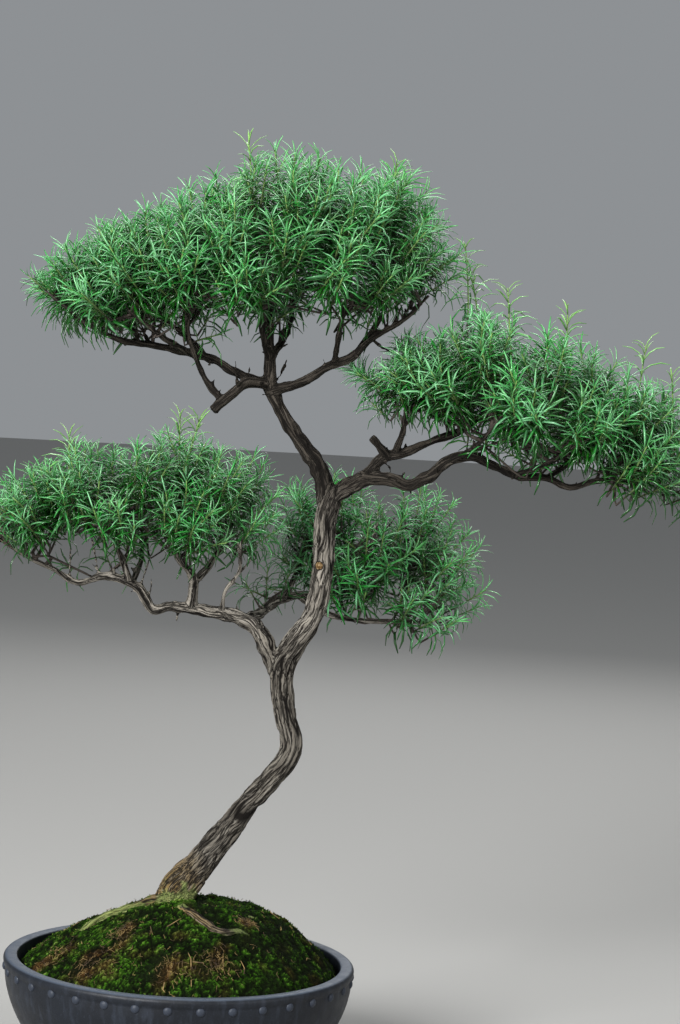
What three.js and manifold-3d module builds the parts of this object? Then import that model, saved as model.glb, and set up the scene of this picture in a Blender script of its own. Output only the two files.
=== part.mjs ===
// A rosemary trained as a bonsai, in the round drum pot it grows in. Millimetres, +Z up.
// The origin is the centre of the pot's flat base. +X is the tree's right and -Y is its front.
import * as THREE from 'three'
import { mergeVertices } from 'three/addons/utils/BufferGeometryUtils.js'
import Module from 'manifold-3d'

const wasm = await Module()
wasm.setup()

// Pot
const RIM_DIAMETER = 300
const POT_HEIGHT = 106
const BASE_DIAMETER = 196
const LIP_WIDTH = 12
const LIP_HEIGHT = 9
const LIP_OVERHANG = 1.5
const WALL = 9
const FLOOR = 9
const RIVET_COUNT = 35
const POT_SIDES = RIVET_COUNT
const RIVET_DIAMETER = 7.4
const RIVET_PROUD = 1.8
const RIVET_HEIGHT = 95.5
const DRAIN_COUNT = 3
const DRAIN_DIAMETER = 16
const DRAIN_CIRCLE = 110

// Mound of soil under its moss
const MOUND_RISE = 62
const MOUND_EDGE_HEIGHT = 98
const MOUND_SIDES = 24
const MOUND_GAP = 2.5
const MOUND_BEND = 80
const MOSS_THICKNESS = 7
const HUMMOCK = 1.6

// Wood
const TWIG = 1.5
const THICK_LIMB = 6
const THIN_LIMB = 3.35
const PIECE_GAP = 0.3

// Foliage
const NEEDLE_LENGTH = 25
const NEEDLE_RADIUS = 1.1
const NEEDLE_ROOT = 4
const NEEDLE_STEP = 6
const NEEDLE_TWIST = 0.45
const NEEDLE_SPREAD_AT_FOOT = 68
const NEEDLE_SPREAD_AT_TIP = 18
const SHOOTS_IN_A_SPRAY = 3
const BUD_STEP = 9
const BUD_CLEARANCE = 13
const PATCH = 0.85
const SHOOT_RADIUS = 1.25
const LEAFY_LENGTH = 36
const SEED = 7
const SLIVER = 0.02

const GOLDEN_ANGLE = Math.PI * (3 - Math.sqrt(5))
const RIM_RADIUS = RIM_DIAMETER / 2
const INNER_RADIUS = RIM_RADIUS - LIP_WIDTH
const MOUND_RADIUS = INNER_RADIUS - MOUND_GAP

// Limbs of the tree: points [x, y, z, radius], from where each leaves what carries it.
const TRUNK = [
  [-9, 5, 112, 19], [-6, 3, 150, 19.5], [-1, 0, 166, 16.5], [13, -2, 189, 14.2], [40, -6, 231, 12.8],
  [64, -9, 260, 12.3], [82, -10, 281, 12.9], [85, -8, 297, 11.8], [81, -5, 314, 10], [75, 0, 340, 9.8],
  [75, 2, 364, 10.6], [86, 0, 386, 9.8], [98, -4, 407, 9.2], [104, -8, 449, 8.9], [104, -6, 488, 9.8],
  [109, -3, 512, 9.5],
]
const LIMBS = {
  upper_trunk: [[106, -4, 498, 9], [100, 0, 521, 8.4], [92, 3, 537, 7.3], [75, 6, 558, 6.3],
    [61, 5, 579, 6.3], [52, 3, 597, 6.9], [50, 1, 614, 5.4], [48, 0, 638, 4.2], [47, 4, 672, 3],
    [54, 12, 712, 2.1]],
  crown_stub: [[50, 2, 600, 5], [31, -10, 601, 4.6], [22, -15, 592, 4.4], [10, -20, 582, 4.3],
    [5, -22, 576, 4.2]],
  crown_left: [[50, 2, 600, 5.2], [24, -5, 607, 4.6], [3, -8, 618, 4.2], [-39, -13, 626, 3.6],
    [-78, -20, 631, 2.9], [-106, -24, 644, 2.3], [-134, -28, 664, TWIG]],
  crown_left_front: [[-14, -9, 621, 3.2], [-38, -42, 634, 2.6], [-66, -72, 655, TWIG]],
  crown_left_back: [[0, -7, 617, 3.4], [-22, 34, 634, 2.8], [-60, 70, 660, TWIG]],
  crown_curl: [[12, -19, 585, 3.3], [-2, -19, 600, 3], [-11, -26, 618, 2.6], [-18, -50, 645, 2],
    [-10, -84, 676, TWIG]],
  crown_right: [[51, 1, 594, 5], [81, -6, 605, 4.3], [101, -10, 619, 3.9], [119, -14, 627, 3.5],
    [134, -18, 643, 2.9], [160, -24, 660, 2.1], [180, -28, 682, TWIG]],
  crown_right_front: [[104, -11, 621, 3], [107, -34, 647, 2.3], [110, -70, 672, TWIG]],
  crown_right_back: [[121, -14, 629, 3], [141, 16, 661, 2.3], [152, 52, 690, TWIG]],
  crown_front: [[49, 0, 621, 3.5], [42, -38, 650, 2.7], [36, -78, 688, TWIG]],
  crown_back: [[50, 2, 620, 3.5], [64, 44, 652, 2.8], [66, 84, 690, TWIG]],
  right: [[107, -4, 506, 8.6], [133, -6, 524, 7], [157, -8, 526, 6.2], [171, -10, 522, 5.8],
    [188, -10, 530, 5.3], [205, -12, 544, 5], [223, -12, 549, 4.6], [243, -10, 542, 4.2],
    [265, -6, 534, 3.8], [290, -4, 534, 3.3], [308, -6, 527, 3], [330, -9, 534, 2.6],
    [362, -12, 536, 2.1], [396, -14, 548, TWIG]],
  right_upper: [[136, -6, 526, 5.6], [150, -2, 543, 4.9], [168, 0, 549, 4.4], [191, 4, 560, 4],
    [212, 8, 568, 3.4], [242, 14, 588, 2.6], [272, 20, 612, TWIG]],
  right_stub: [[153, -3, 545, 3.8], [146, -9, 553, 3.7], [139, -13, 560, 3.5]],
  right_near: [[160, -1, 549, 3.2], [165, -14, 566, 2.5], [166, -40, 592, TWIG]],
  right_front: [[207, -13, 544, 3.1], [226, -46, 560, 2.4], [244, -76, 586, TWIG]],
  right_front_far: [[262, -7, 535, 2.9], [288, -42, 550, 2.2], [318, -68, 572, TWIG]],
  right_back: [[214, 9, 569, 2.9], [224, 42, 584, 2.3], [226, 74, 604, TWIG]],
  right_back_far: [[290, -3, 535, 2.7], [318, 34, 552, 2.1], [338, 60, 572, TWIG]],
  left: [[68, 3, 350, 8.2], [61, 4, 374, 7.6], [48, 6, 394, 7.2], [34, 8, 400, 6.6],
    [17, 10, 402, 6.1], [-3, 12, 404, 5.6], [-23, 12, 405, 5], [-39, 10, 403, 4.5],
    [-45, 9, 411, 4.3], [-51, 8, 420, 4.1], [-63, 8, 426, 3.9], [-82, 8, 429, 3.5],
    [-104, 8, 422, 3], [-124, 8, 432, 2.6], [-150, 8, 443, 2], [-176, 8, 458, TWIG]],
  left_front: [[-60, 8, 426, 2.9], [-66, -8, 446, 2.4], [-76, -42, 472, TWIG]],
  left_back: [[-57, 8, 423, 2.9], [-52, 28, 446, 2.3], [-60, 62, 478, TWIG]],
  left_middle: [[-6, 12, 406, 3.3], [-6, 6, 432, 2.8], [-18, -16, 450, 2.2],
    [-24, -44, 474, TWIG]],
  left_inner: [[-6, 8, 427, 2.7], [8, 24, 444, 2.2], [18, 54, 476, TWIG]],
  left_near: [[20, 9, 404, 3], [26, -10, 432, 2.3], [32, -34, 468, TWIG]],
  back: [[52, 5, 393, 6], [41, 30, 396, 5.5], [50, 58, 398, 5], [60, 82, 405, 4.5],
    [79, 110, 411, 4], [122, 138, 415, 3.4], [146, 150, 427, 2.8], [178, 158, 440, 2.2],
    [212, 160, 456, TWIG]],
  back_low: [[84, 113, 411, 3.2], [112, 112, 396, 2.7], [156, 122, 391, 2.1],
    [204, 132, 392, TWIG]],
  back_left: [[70, 96, 408, 3.2], [82, 140, 436, 2.4], [84, 178, 470, TWIG]],
  back_front: [[124, 139, 416, 3], [142, 122, 448, 2.2], [150, 106, 482, TWIG]],
}

// Surface roots: plan points [x, y, radius], which follow the mound and dive at their ends.
const ROOTS = {
  left_root: [[-4, 0, 10], [-26, -5, 7], [-50, -8, 5], [-72, -12, 4], [-92, -22, 2.6]],
  front_root: [[0, -8, 8], [4, -32, 4.6], [19, -47, 4], [34, -57, 3.4], [50, -56, 2.8], [62, -52, 2.2]],
  right_root: [[4, -2, 8], [26, -14, 4.4], [48, -18, 3.2], [66, -16, 2.2]],
  back_root: [[0, 6, 9], [12, 30, 5.4], [32, 50, 4], [44, 72, 2.8]],
  back_left_root: [[-4, 4, 9], [-26, 24, 5], [-44, 46, 3.6], [-52, 70, 2.4]],
}

// Pads of foliage. A pad is a dome: centre and half size in plan, and the height of its crest
// and its hem at points [x, z] along it. Tall shoots are tips [x, y, z] that stand out of it.
const PADS = {
  crown: {
    sprays: 11, centre: [20, 0], half: [170, 118], limbs: /^(upper_trunk|crown)/,
    crest: [[-152, 684], [-126, 708], [-82, 740], [-31, 762], [24, 792], [100, 792], [156, 780],
      [192, 742]],
    hem: [[-150, 654], [-110, 642], [-11, 656], [105, 664], [190, 680]],
    tall: [[24, -6, 803], [148, 10, 792], [196, -6, 748]],
  },
  right: {
    sprays: 9, centre: [276, -8], half: [150, 88], limbs: /^right/,
    crest: [[126, 622], [160, 648], [238, 664], [299, 650], [345, 630], [400, 604], [426, 575]],
    hem: [[126, 586], [205, 570], [250, 552], [330, 532], [372, 520], [426, 536]],
    tall: [[213, 0, 727], [254, -4, 694], [299, 4, 678], [364, -6, 650], [389, 2, 628]],
  },
  left: {
    sprays: 8, centre: [-64, 8], half: [128, 82], limbs: /^left/,
    crest: [[-192, 486], [-161, 512], [-117, 538], [-70, 544], [-26, 560], [7, 550], [62, 512]],
    hem: [[-190, 460], [-119, 452], [-40, 448], [60, 450]],
    tall: [[-117, 2, 548], [-26, 10, 570], [-12, 14, 568]],
  },
  back: {
    sprays: 6, centre: [148, 150], half: [98, 68], limbs: /^back/,
    crest: [[52, 492], [104, 518], [186, 512], [244, 478]],
    hem: [[52, 430], [122, 386], [213, 388], [244, 400]],
    tall: [],
  },
}

// A seeded stream of even draws from 0 to 1.
function drawsFrom(seed) {
  let state = seed
  return () => {
    state = (state + 0x6d2b79f5) | 0
    let mixed = Math.imul(state ^ (state >>> 15), 1 | state)
    mixed = (mixed + Math.imul(mixed ^ (mixed >>> 7), 61 | mixed)) ^ mixed
    return ((mixed ^ (mixed >>> 14)) >>> 0) / 4294967296
  }
}

// A closed three.js geometry as a solid that can be joined and cut.
function solidOf(geometry) {
  const bare = new THREE.BufferGeometry().setAttribute('position', geometry.getAttribute('position'))
  const merged = mergeVertices(bare.setIndex(geometry.getIndex()), 1e-4)
  return new wasm.Manifold(new wasm.Mesh({
    numProp: 3,
    vertProperties: new Float32Array(merged.attributes.position.array),
    triVerts: new Uint32Array(merged.index.array),
  }))
}

// A solid's mesh, without the slivers that cuts leave along its edges.
function geometryOf(solid) {
  const mesh = solid.simplify(SLIVER).getMesh()
  const geometry = new THREE.BufferGeometry()
  geometry.setAttribute('position', new THREE.BufferAttribute(mesh.vertProperties, mesh.numProp))
  geometry.setIndex(new THREE.BufferAttribute(mesh.triVerts, 1))
  geometry.computeVertexNormals()
  return geometry
}

const joined = (solids) => solids.reduce((whole, solid) => whole.add(solid))
const vectorOf = (point) => new THREE.Vector3(point[0], point[1], point[2])
const curveThrough = (points) => new THREE.CatmullRomCurve3(points.map(vectorOf), false, 'centripetal')
const countedTo = (last) => Array.from({ length: last + 1 }, (_, i) => i)

// Lathe about the pot's axis from a profile of [radius, height], given from the foot upwards.
function latheOf(profile, sides) {
  const points = profile.map(([radius, height]) => new THREE.Vector2(radius, height))
  return new THREE.LatheGeometry(points, sides).rotateX(Math.PI / 2)
}

// Radius at curve parameter t, between the radii that the points [x, y, z, radius] give.
function radiusBetween(points, t) {
  const place = t * (points.length - 1)
  const before = Math.min(Math.floor(place), points.length - 2)
  return THREE.MathUtils.lerp(points[before][3], points[before + 1][3], place - before)
}

// A bar bent along a curve, its radius following the points' own. Each ring of a cylinder is
// moved onto the curve, so both ends stay closed. rings are whole steps from 0 to the last, and
// each corner keeps its share of the way along.
function barAlong(points, { sides, rings, grow = 0, twist = 0, radiusAt = (radius) => radius }) {
  const curve = curveThrough(points)
  const last = rings[rings.length - 1]
  const frames = curve.computeFrenetFrames(last, false)
  const bar = new THREE.CylinderGeometry(1, 1, 1, sides, rings.length - 1)
  const position = bar.attributes.position
  const share = new Float32Array(position.count)
  for (let i = 0; i < position.count; i += 1) {
    const ring = rings[Math.round((position.getY(i) + 0.5) * (rings.length - 1))]
    share[i] = ring / last
    const t = curve.getUtoTmapping(ring / last)
    const offAxis = Math.hypot(position.getX(i), position.getZ(i))
    const angle = Math.atan2(position.getZ(i), position.getX(i))
    const radius = offAxis * (radiusAt(radiusBetween(points, t), angle, ring / last) + grow)
    const point = curve.getPoint(t)
      .addScaledVector(frames.normals[ring], -radius * Math.cos(angle + twist * ring))
      .addScaledVector(frames.binormals[ring], radius * Math.sin(angle + twist * ring))
    position.setXYZ(i, point.x, point.y, point.z)
  }
  return bar.setAttribute('share', new THREE.BufferAttribute(share, 1))
}

// Pot: an unglazed drum bowl with a rolled lip and one row of rivet heads under it, one of them
// at the very front.
function wallRadius(height) {
  const base = BASE_DIAMETER / 2
  const top = POT_HEIGHT - LIP_HEIGHT
  const share = THREE.MathUtils.clamp(height / top, 0, 1)
  return base + (RIM_RADIUS - LIP_OVERHANG - base) * Math.sin((share * Math.PI) / 2)
}

// Radius of the pot's inside where its wall bends, from the floor up.
const insideBends = [FLOOR, 38, 70].map((z) => [wallRadius(z) - WALL, z])

function bowlSolid() {
  const outside = [0, 36, 70, POT_HEIGHT - LIP_HEIGHT].map((z) => [wallRadius(z), z])
  const lip = [[RIM_RADIUS, POT_HEIGHT - LIP_HEIGHT + 2], [RIM_RADIUS, POT_HEIGHT - 3],
    [RIM_RADIUS - 3, POT_HEIGHT], [INNER_RADIUS, POT_HEIGHT]]
  const inside = insideBends.toReversed()
  return solidOf(latheOf([[0, 0], ...outside, ...lip, ...inside, [0, FLOOR]], POT_SIDES))
}

// One rivet head, in the middle of the flat of the wall that it stands on.
function rivetSolid(i) {
  const foot = wallRadius(RIVET_HEIGHT) * Math.cos(Math.PI / POT_SIDES)
  const profile = [[0, -RIVET_PROUD], [0.6 * RIVET_DIAMETER, -RIVET_PROUD],
    [0.3 * RIVET_DIAMETER, RIVET_PROUD], [0, RIVET_PROUD]]
  const head = latheOf(profile, 4).rotateY(Math.PI / 2).translate(foot, 0, RIVET_HEIGHT)
  return solidOf(head.rotateZ(((i + 0.5) / RIVET_COUNT) * 2 * Math.PI))
}

function drainSolid(i) {
  const hole = new THREE.CylinderGeometry(DRAIN_DIAMETER / 2, DRAIN_DIAMETER / 2, 3 * FLOOR, 10)
  hole.rotateX(Math.PI / 2).translate(DRAIN_CIRCLE / 2, 0, FLOOR / 2)
  return solidOf(hole.rotateZ((i / DRAIN_COUNT) * 2 * Math.PI))
}

function potSolid() {
  const rivets = countedTo(RIVET_COUNT - 1).map(rivetSolid)
  const drains = countedTo(DRAIN_COUNT - 1).map(drainSolid)
  const turn = -90 - 180 / RIVET_COUNT
  return joined([bowlSolid(), ...rivets]).rotate([0, 0, turn]).subtract(joined(drains))
}

// Mound: it falls in a straighter line to the left than to the right.
function moundHeight(x, y) {
  const radius = Math.hypot(x, y)
  const steepness = 2.08 + (0.52 * x) / Math.max(radius, 1)
  return MOUND_EDGE_HEIGHT + MOUND_RISE * (1 - Math.min(1, radius / INNER_RADIUS) ** steepness)
}

const hummocks = (x, y) => HUMMOCK * (Math.sin(0.11 * x + 1.3) * Math.cos(0.13 * y)
  + 0.6 * Math.sin(0.07 * (x + y)))

// A lathe whose rings from number firstOnMound on lie on the mound, sunk into it by sink.
function layerOnMound(profile, firstOnMound, sinkOf, bumps) {
  const geometry = latheOf(profile, MOUND_SIDES)
  const position = geometry.attributes.position
  for (let i = 0; i < position.count; i += 1) {
    const ring = i % profile.length
    if (ring < firstOnMound) continue
    const x = position.getX(i)
    const y = position.getY(i)
    position.setZ(i, moundHeight(x, y) - sinkOf(ring) + bumps(x, y))
  }
  return solidOf(geometry)
}

function mossSolid(rootBed) {
  const under = [0, MOUND_BEND, MOUND_RADIUS - 2]
  const upper = [MOUND_RADIUS, 108, 76, 44, 0]
  const profile = [...under, ...upper].map((radius) => [radius, 0])
  const sinkOf = (ring) => (ring < under.length ? MOSS_THICKNESS : 0)
  return layerOnMound(profile, 0, sinkOf, hummocks).subtract(rootBed)
}

function soilSolid(rootBed) {
  const side = insideBends.map(([radius, z]) => [radius - 4 * PIECE_GAP, z + PIECE_GAP])
  const profile = [[0, FLOOR + PIECE_GAP], ...side, [MOUND_RADIUS - 3, 0], [MOUND_BEND, 0], [0, 0]]
  const firstOnMound = 1 + side.length
  const sinkOf = () => MOSS_THICKNESS + 2 * HUMMOCK + PIECE_GAP
  return layerOnMound(profile, firstOnMound, sinkOf, () => 0).subtract(rootBed)
}

// Wood: trunk, limbs and surface roots are one grown piece.
function fluted(radius, angle, along) {
  return radius * (1 + (0.1 - 0.07 * along) * Math.cos(3 * angle + 4 * along))
}

function rootPath(points) {
  return points.map(([x, y, radius], i) => {
    const sunk = i === points.length - 1 ? 1.6 * radius : 0.25 * radius
    return [x, y, moundHeight(x, y) - sunk, radius]
  })
}

const trunkSolid = (grow) => solidOf(barAlong(TRUNK, {
  sides: 9, rings: countedTo(22), grow, radiusAt: fluted,
}))
const rootSolids = (grow) => Object.values(ROOTS).map((points) => {
  return solidOf(barAlong(rootPath(points), { sides: 5, rings: countedTo(points.length), grow }))
})

function limbSolid(points, grow) {
  const root = points[0][3]
  const sides = root > THICK_LIMB ? 6 : root > THIN_LIMB ? 5 : 4
  return solidOf(barAlong(points, { sides, rings: countedTo(points.length), grow }))
}

function woodSolid(grow) {
  const limbs = Object.values(LIMBS).map((points) => limbSolid(points, grow))
  return joined([trunkSolid(grow), ...limbs, ...rootSolids(grow)])
}

// Where the trunk's foot and the roots lie, a little larger all round.
const rootBedSolid = () => joined([trunkSolid(PIECE_GAP), ...rootSolids(PIECE_GAP)])

// Height at x on an outline of [x, z] points.
function heightAt(outline, x) {
  const next = outline.findIndex(([px]) => px >= x)
  if (next === 0) return outline[0][1]
  if (next < 0) return outline[outline.length - 1][1]
  const [x0, z0] = outline[next - 1]
  const [x1, z1] = outline[next]
  return THREE.MathUtils.lerp(z0, z1, (x - x0) / (x1 - x0))
}

// A point of the dome in direction way, at a share of the way out from its heart.
function onDome(pad, way, share) {
  const x = pad.centre[0] + pad.half[0] * way.x * share
  const y = pad.centre[1] + pad.half[1] * way.y * share
  const hem = heightAt(pad.hem, x)
  const lift = Math.min(1, way.z / Math.sqrt(Math.max(0.12, 1 - way.x * way.x)))
  return new THREE.Vector3(x, y, hem + (heightAt(pad.crest, x) - hem) * lift * share)
}

// Directions spread evenly over a dome, from its top down to just under its widest line.
function evenWay(i, count) {
  const lowest = -0.06
  const z = 1 - ((i + 0.5) / count) * (1 - lowest)
  const ring = Math.sqrt(1 - z * z)
  return new THREE.Vector3(ring * Math.cos(i * GOLDEN_ANGLE), ring * Math.sin(i * GOLDEN_ANGLE), z)
}

// A shoot leans outwards on the pad's sides and stands up on its top.
const leanOf = (way) => new THREE.Vector3(way.x, way.y, 0.3 + 1.1 * Math.max(0, way.z)).normalize()

// A straight stretch from a to b of a bar or a needle, for keeping pieces clear of each other.
function stretch(a, b, radius) {
  return { a, b, radius, centre: a.clone().lerp(b, 0.5), reach: a.distanceTo(b) / 2 + radius }
}

function stretchesAlong(points, count) {
  const curve = curveThrough(points)
  return countedTo(count - 1).map((i) => {
    const radius = Math.max(radiusBetween(points, i / count), radiusBetween(points, (i + 1) / count))
    return stretch(curve.getPoint(i / count), curve.getPoint((i + 1) / count), radius)
  })
}

// Closest distance between two stretches' centre lines.
function distanceBetween(one, two) {
  const d1 = one.b.clone().sub(one.a)
  const d2 = two.b.clone().sub(two.a)
  const apart = one.a.clone().sub(two.a)
  const a = d1.dot(d1)
  const b = d1.dot(d2)
  const c = d1.dot(apart)
  const e = d2.dot(d2)
  const f = d2.dot(apart)
  const across = a * e - b * b
  let s = across > 1e-9 ? THREE.MathUtils.clamp((b * f - c * e) / across, 0, 1) : 0
  let t = (b * s + f) / e
  if (t < 0 || t > 1) {
    t = THREE.MathUtils.clamp(t, 0, 1)
    s = THREE.MathUtils.clamp((b * t - c) / a, 0, 1)
  }
  return one.a.clone().addScaledVector(d1, s).distanceTo(two.a.clone().addScaledVector(d2, t))
}

function isClear(piece, others) {
  return others.every((other) => {
    const margin = PIECE_GAP + 0.1
    if (piece.centre.distanceTo(other.centre) > piece.reach + other.reach + margin) return true
    return distanceBetween(piece, other) > piece.radius + other.radius + margin
  })
}

// A needle's line from its root on a shoot, swung round the shoot until it is clear, or none.
function clearNeedle(root, axis, outward, up, others, siblings, size) {
  const spread = THREE.MathUtils.degToRad(
    THREE.MathUtils.lerp(NEEDLE_SPREAD_AT_FOOT, NEEDLE_SPREAD_AT_TIP, up * up))
  for (const swing of [0, 0.35, -0.35, 0.7, -0.7]) {
    const side = outward.clone().applyAxisAngle(axis, swing)
    const direction = axis.clone().multiplyScalar(Math.cos(spread)).addScaledVector(side, Math.sin(spread))
    const tip = root.clone().addScaledVector(direction, size)
    const knee = root.clone().addScaledVector(direction, NEEDLE_ROOT)
    const foot = stretch(root, knee, 2 * NEEDLE_RADIUS)
    const blade = stretch(knee, tip, NEEDLE_RADIUS)
    if (isClear(foot, others) && isClear(blade, others) && isClear(blade, siblings)) return { foot, blade }
  }
  return null
}

// A leafy shoot: a three-sided twig whose small faces are raised into needles, one in three of
// those along its leafy end and all of those at its tip. Returns its solid and its stretches.
function leafyShoot(path, others, draw) {
  const curve = curveThrough(path)
  const last = Math.max(4, Math.round(curve.getLength() / NEEDLE_STEP))
  const leafy = Math.min(Math.round(LEAFY_LENGTH / NEEDLE_STEP), last - 2)
  const bare = last - leafy
  const rings = [0, Math.round(bare / 2), ...countedTo(leafy).map((i) => bare + i)]
  const twig = barAlong(path, { sides: 3, rings, twist: NEEDLE_TWIST }).toNonIndexed()
  const corner = twig.attributes.position
  const share = twig.attributes.share
  const blades = []
  const feet = []
  const faces = []
  for (let i = 0; i < corner.count; i += 3) {
    const face = [0, 1, 2].map((k) => new THREE.Vector3().fromBufferAttribute(corner, i + k))
    const root = face[0].clone().add(face[1]).add(face[2]).divideScalar(3)
    const u = (share.getX(i) + share.getX(i + 1) + share.getX(i + 2)) / 3
    const up = 1 - ((1 - u) * last) / leafy
    const isTip = u > 0.999
    const isSite = isTip || (up > 0 && (i / 3) % 3 === 0)
    if (!isSite || u < 0.001) {
      faces.push(face)
      continue
    }
    const axis = curve.getTangentAt(u)
    const outward = root.clone().sub(curve.getPointAt(u)).projectOnPlane(axis).normalize()
    const size = NEEDLE_LENGTH * (0.85 + 0.25 * draw())
    const needle = clearNeedle(root, axis, outward, Math.max(0, up), others, blades, size)
    if (!needle) {
      faces.push(face)
      continue
    }
    blades.push(needle.blade)
    feet.push(needle.foot)
    const tip = needle.blade.b
    faces.push([face[0], face[1], tip], [face[1], face[2], tip], [face[2], face[0], tip])
  }
  const raised = new THREE.BufferGeometry().setFromPoints(faces.flat())
  const knot = curve.getPointAt(rings[1] / last)
  return { knot, solid: solidOf(raised), stretches: [...stretchesAlong(path, 8), ...blades, ...feet] }
}

// Points along a pad's limbs that can carry a spray.
function budsOf(pad) {
  const carriers = Object.entries(LIMBS).filter(([name]) => pad.limbs.test(name) && !name.endsWith('stub'))
  return carriers.flatMap(([, points]) => {
    const curve = curveThrough(points)
    const count = Math.round(curve.getLength() / BUD_STEP)
    return countedTo(count).slice(2).map((i) => curve.getPoint(i / count))
  })
}

function takeNearest(points, place) {
  const nearest = points.reduce((best, point) => {
    return point.distanceTo(place) < best.distanceTo(place) ? point : best
  })
  points.splice(points.indexOf(nearest), 1)
  return nearest
}

const withRadius = (point, radius) => [point.x, point.y, point.z, radius]

// The direction of the spray's shoot i, a little to one side of the spray's own.
function shootWay(way, pad, i) {
  const turn = (i / SHOOTS_IN_A_SPRAY) * 2 * Math.PI + 9 * way.z
  const off = new THREE.Vector3(Math.cos(turn), Math.sin(turn), 0)
  return way.clone().addScaledVector(off, PATCH / Math.sqrt(pad.sprays)).clampLength(0, 1)
}

// Grows a shoot from a stem to a tip, moved aside until it is clear of the others. Returns null
// where no place is clear.
function growShoot(stem, tip, lean, others, draw) {
  for (let attempt = 0; attempt < 12; attempt += 1) {
    const aside = new THREE.Vector3(draw() - 0.5, draw() - 0.5, draw() - 0.5).multiplyScalar(3 * attempt)
    const end = tip.clone().add(aside)
    const heel = end.clone().addScaledVector(lean, -0.75 * LEAFY_LENGTH)
    const path = [...stem, withRadius(heel, SHOOT_RADIUS), withRadius(end, SHOOT_RADIUS)]
    const stretches = stretchesAlong(path, 8).slice(1)
    if (stretches.every((piece) => isClear(piece, others))) return leafyShoot(path, others, draw)
  }
  return null
}

function addShoot(spray, shoot) {
  if (!shoot) return
  spray.solids.push(shoot.solid)
  spray.stretches.push(...shoot.stretches)
}

// A spray: a leading shoot from a bud on a limb, and side shoots that leave its stem.
function growSpray(pad, index, buds, taken, draw) {
  const way = evenWay(index, pad.sprays)
  const heart = onDome(pad, way, 0.45)
  for (let attempt = 0; attempt < buds.length; attempt += 1) {
    const bud = takeNearest(buds, heart)
    const others = taken.filter((piece) => piece.centre.distanceTo(bud) > BUD_CLEARANCE)
    const fork = bud.clone().lerp(heart, 0.6).addScaledVector(leanOf(way), 6)
    const tip = onDome(pad, shootWay(way, pad, 0), 0.92 + 0.08 * draw())
    const stem = [withRadius(bud, 1.8), withRadius(fork, 1.6)]
    const leader = growShoot(stem, tip, leanOf(way), others, draw)
    if (!leader) continue
    const spray = { knot: leader.knot, solids: [], stretches: [] }
    addShoot(spray, leader)
    for (let i = 1; i < SHOOTS_IN_A_SPRAY; i += 1) {
      const start = bud.clone().lerp(leader.knot, 1 - 0.4 * (i - 1))
      const sideWay = shootWay(way, pad, i)
      const sideTip = onDome(pad, sideWay, 0.92 + 0.08 * draw())
      const clearOf = [...others, ...spray.stretches.filter((piece) => piece.centre.distanceTo(start) > 9)]
      addShoot(spray, growShoot([withRadius(start, SHOOT_RADIUS)], sideTip, leanOf(sideWay), clearOf, draw))
    }
    return spray
  }
  throw new Error('no bud leaves room for a spray')
}

// The sprays of a pad, each clear of all that grew before it, then the tall shoots of the pad,
// each from the nearest stem.
function growPad(pad, taken, draw) {
  const buds = budsOf(pad)
  const sprays = []
  for (let i = 0; i < pad.sprays; i += 1) {
    const spray = growSpray(pad, i, buds, taken, draw)
    sprays.push(spray)
    taken.push(...spray.stretches)
  }
  for (const point of pad.tall) {
    const tip = vectorOf(point)
    const spray = sprays.reduce((best, one) => {
      return one.knot.distanceTo(tip) < best.knot.distanceTo(tip) ? one : best
    })
    const others = taken.filter((piece) => piece.centre.distanceTo(spray.knot) > 9)
    const stem = [withRadius(spray.knot, SHOOT_RADIUS)]
    const shoot = growShoot(stem, tip, new THREE.Vector3(0, 0, 1), others, draw)
    addShoot(spray, shoot)
    if (shoot) taken.push(...shoot.stretches)
  }
  return sprays
}

// The spray's largest body, once what a limb takes up is cut away from its foot.
function cutFromWood(spray, woodBed) {
  const bodies = joined(spray.solids).subtract(woodBed).decompose()
  return bodies.reduce((best, body) => (body.volume() > best.volume() ? body : best))
}

const MATERIALS = {
  pot: { color: 0x3b3c42, roughness: 0.62, metalness: 0 },
  soil: { color: 0x2a211a, roughness: 0.95, metalness: 0 },
  moss: { color: 0x2f4a1c, roughness: 0.95, metalness: 0 },
  wood: { color: 0x5d5246, roughness: 0.9, metalness: 0 },
  foliage: { color: 0x3f6b3f, roughness: 0.6, metalness: 0 },
}

const bonsai = new THREE.Group()

function place(name, solid, look) {
  const mesh = new THREE.Mesh(geometryOf(solid), new THREE.MeshStandardMaterial(MATERIALS[look]))
  mesh.name = name
  bonsai.add(mesh)
}

const rootBed = rootBedSolid()
place('pot', potSolid(), 'pot')
place('soil', soilSolid(rootBed), 'soil')
place('moss', mossSolid(rootBed), 'moss')
place('wood', woodSolid(0), 'wood')

const woodBed = woodSolid(PIECE_GAP)
const draw = drawsFrom(SEED)
const taken = Object.values(LIMBS).flatMap((points) => {
  return stretchesAlong(points, Math.round(curveThrough(points).getLength() / 6))
})
for (const [padName, pad] of Object.entries(PADS)) {
  growPad(pad, taken, draw).forEach((spray, i) => {
    const number = String(i + 1).padStart(2, '0')
    place(`${padName}_spray_${number}`, cutFromWood(spray, woodBed), 'foliage')
  })
}

export default bonsai
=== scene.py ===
"""A rosemary trained as a bonsai, in a round drum pot with a mossy mound.

Metres, +Z up. The origin is the centre of the pot's flat base, -Y is the tree's front.
"""

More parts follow.
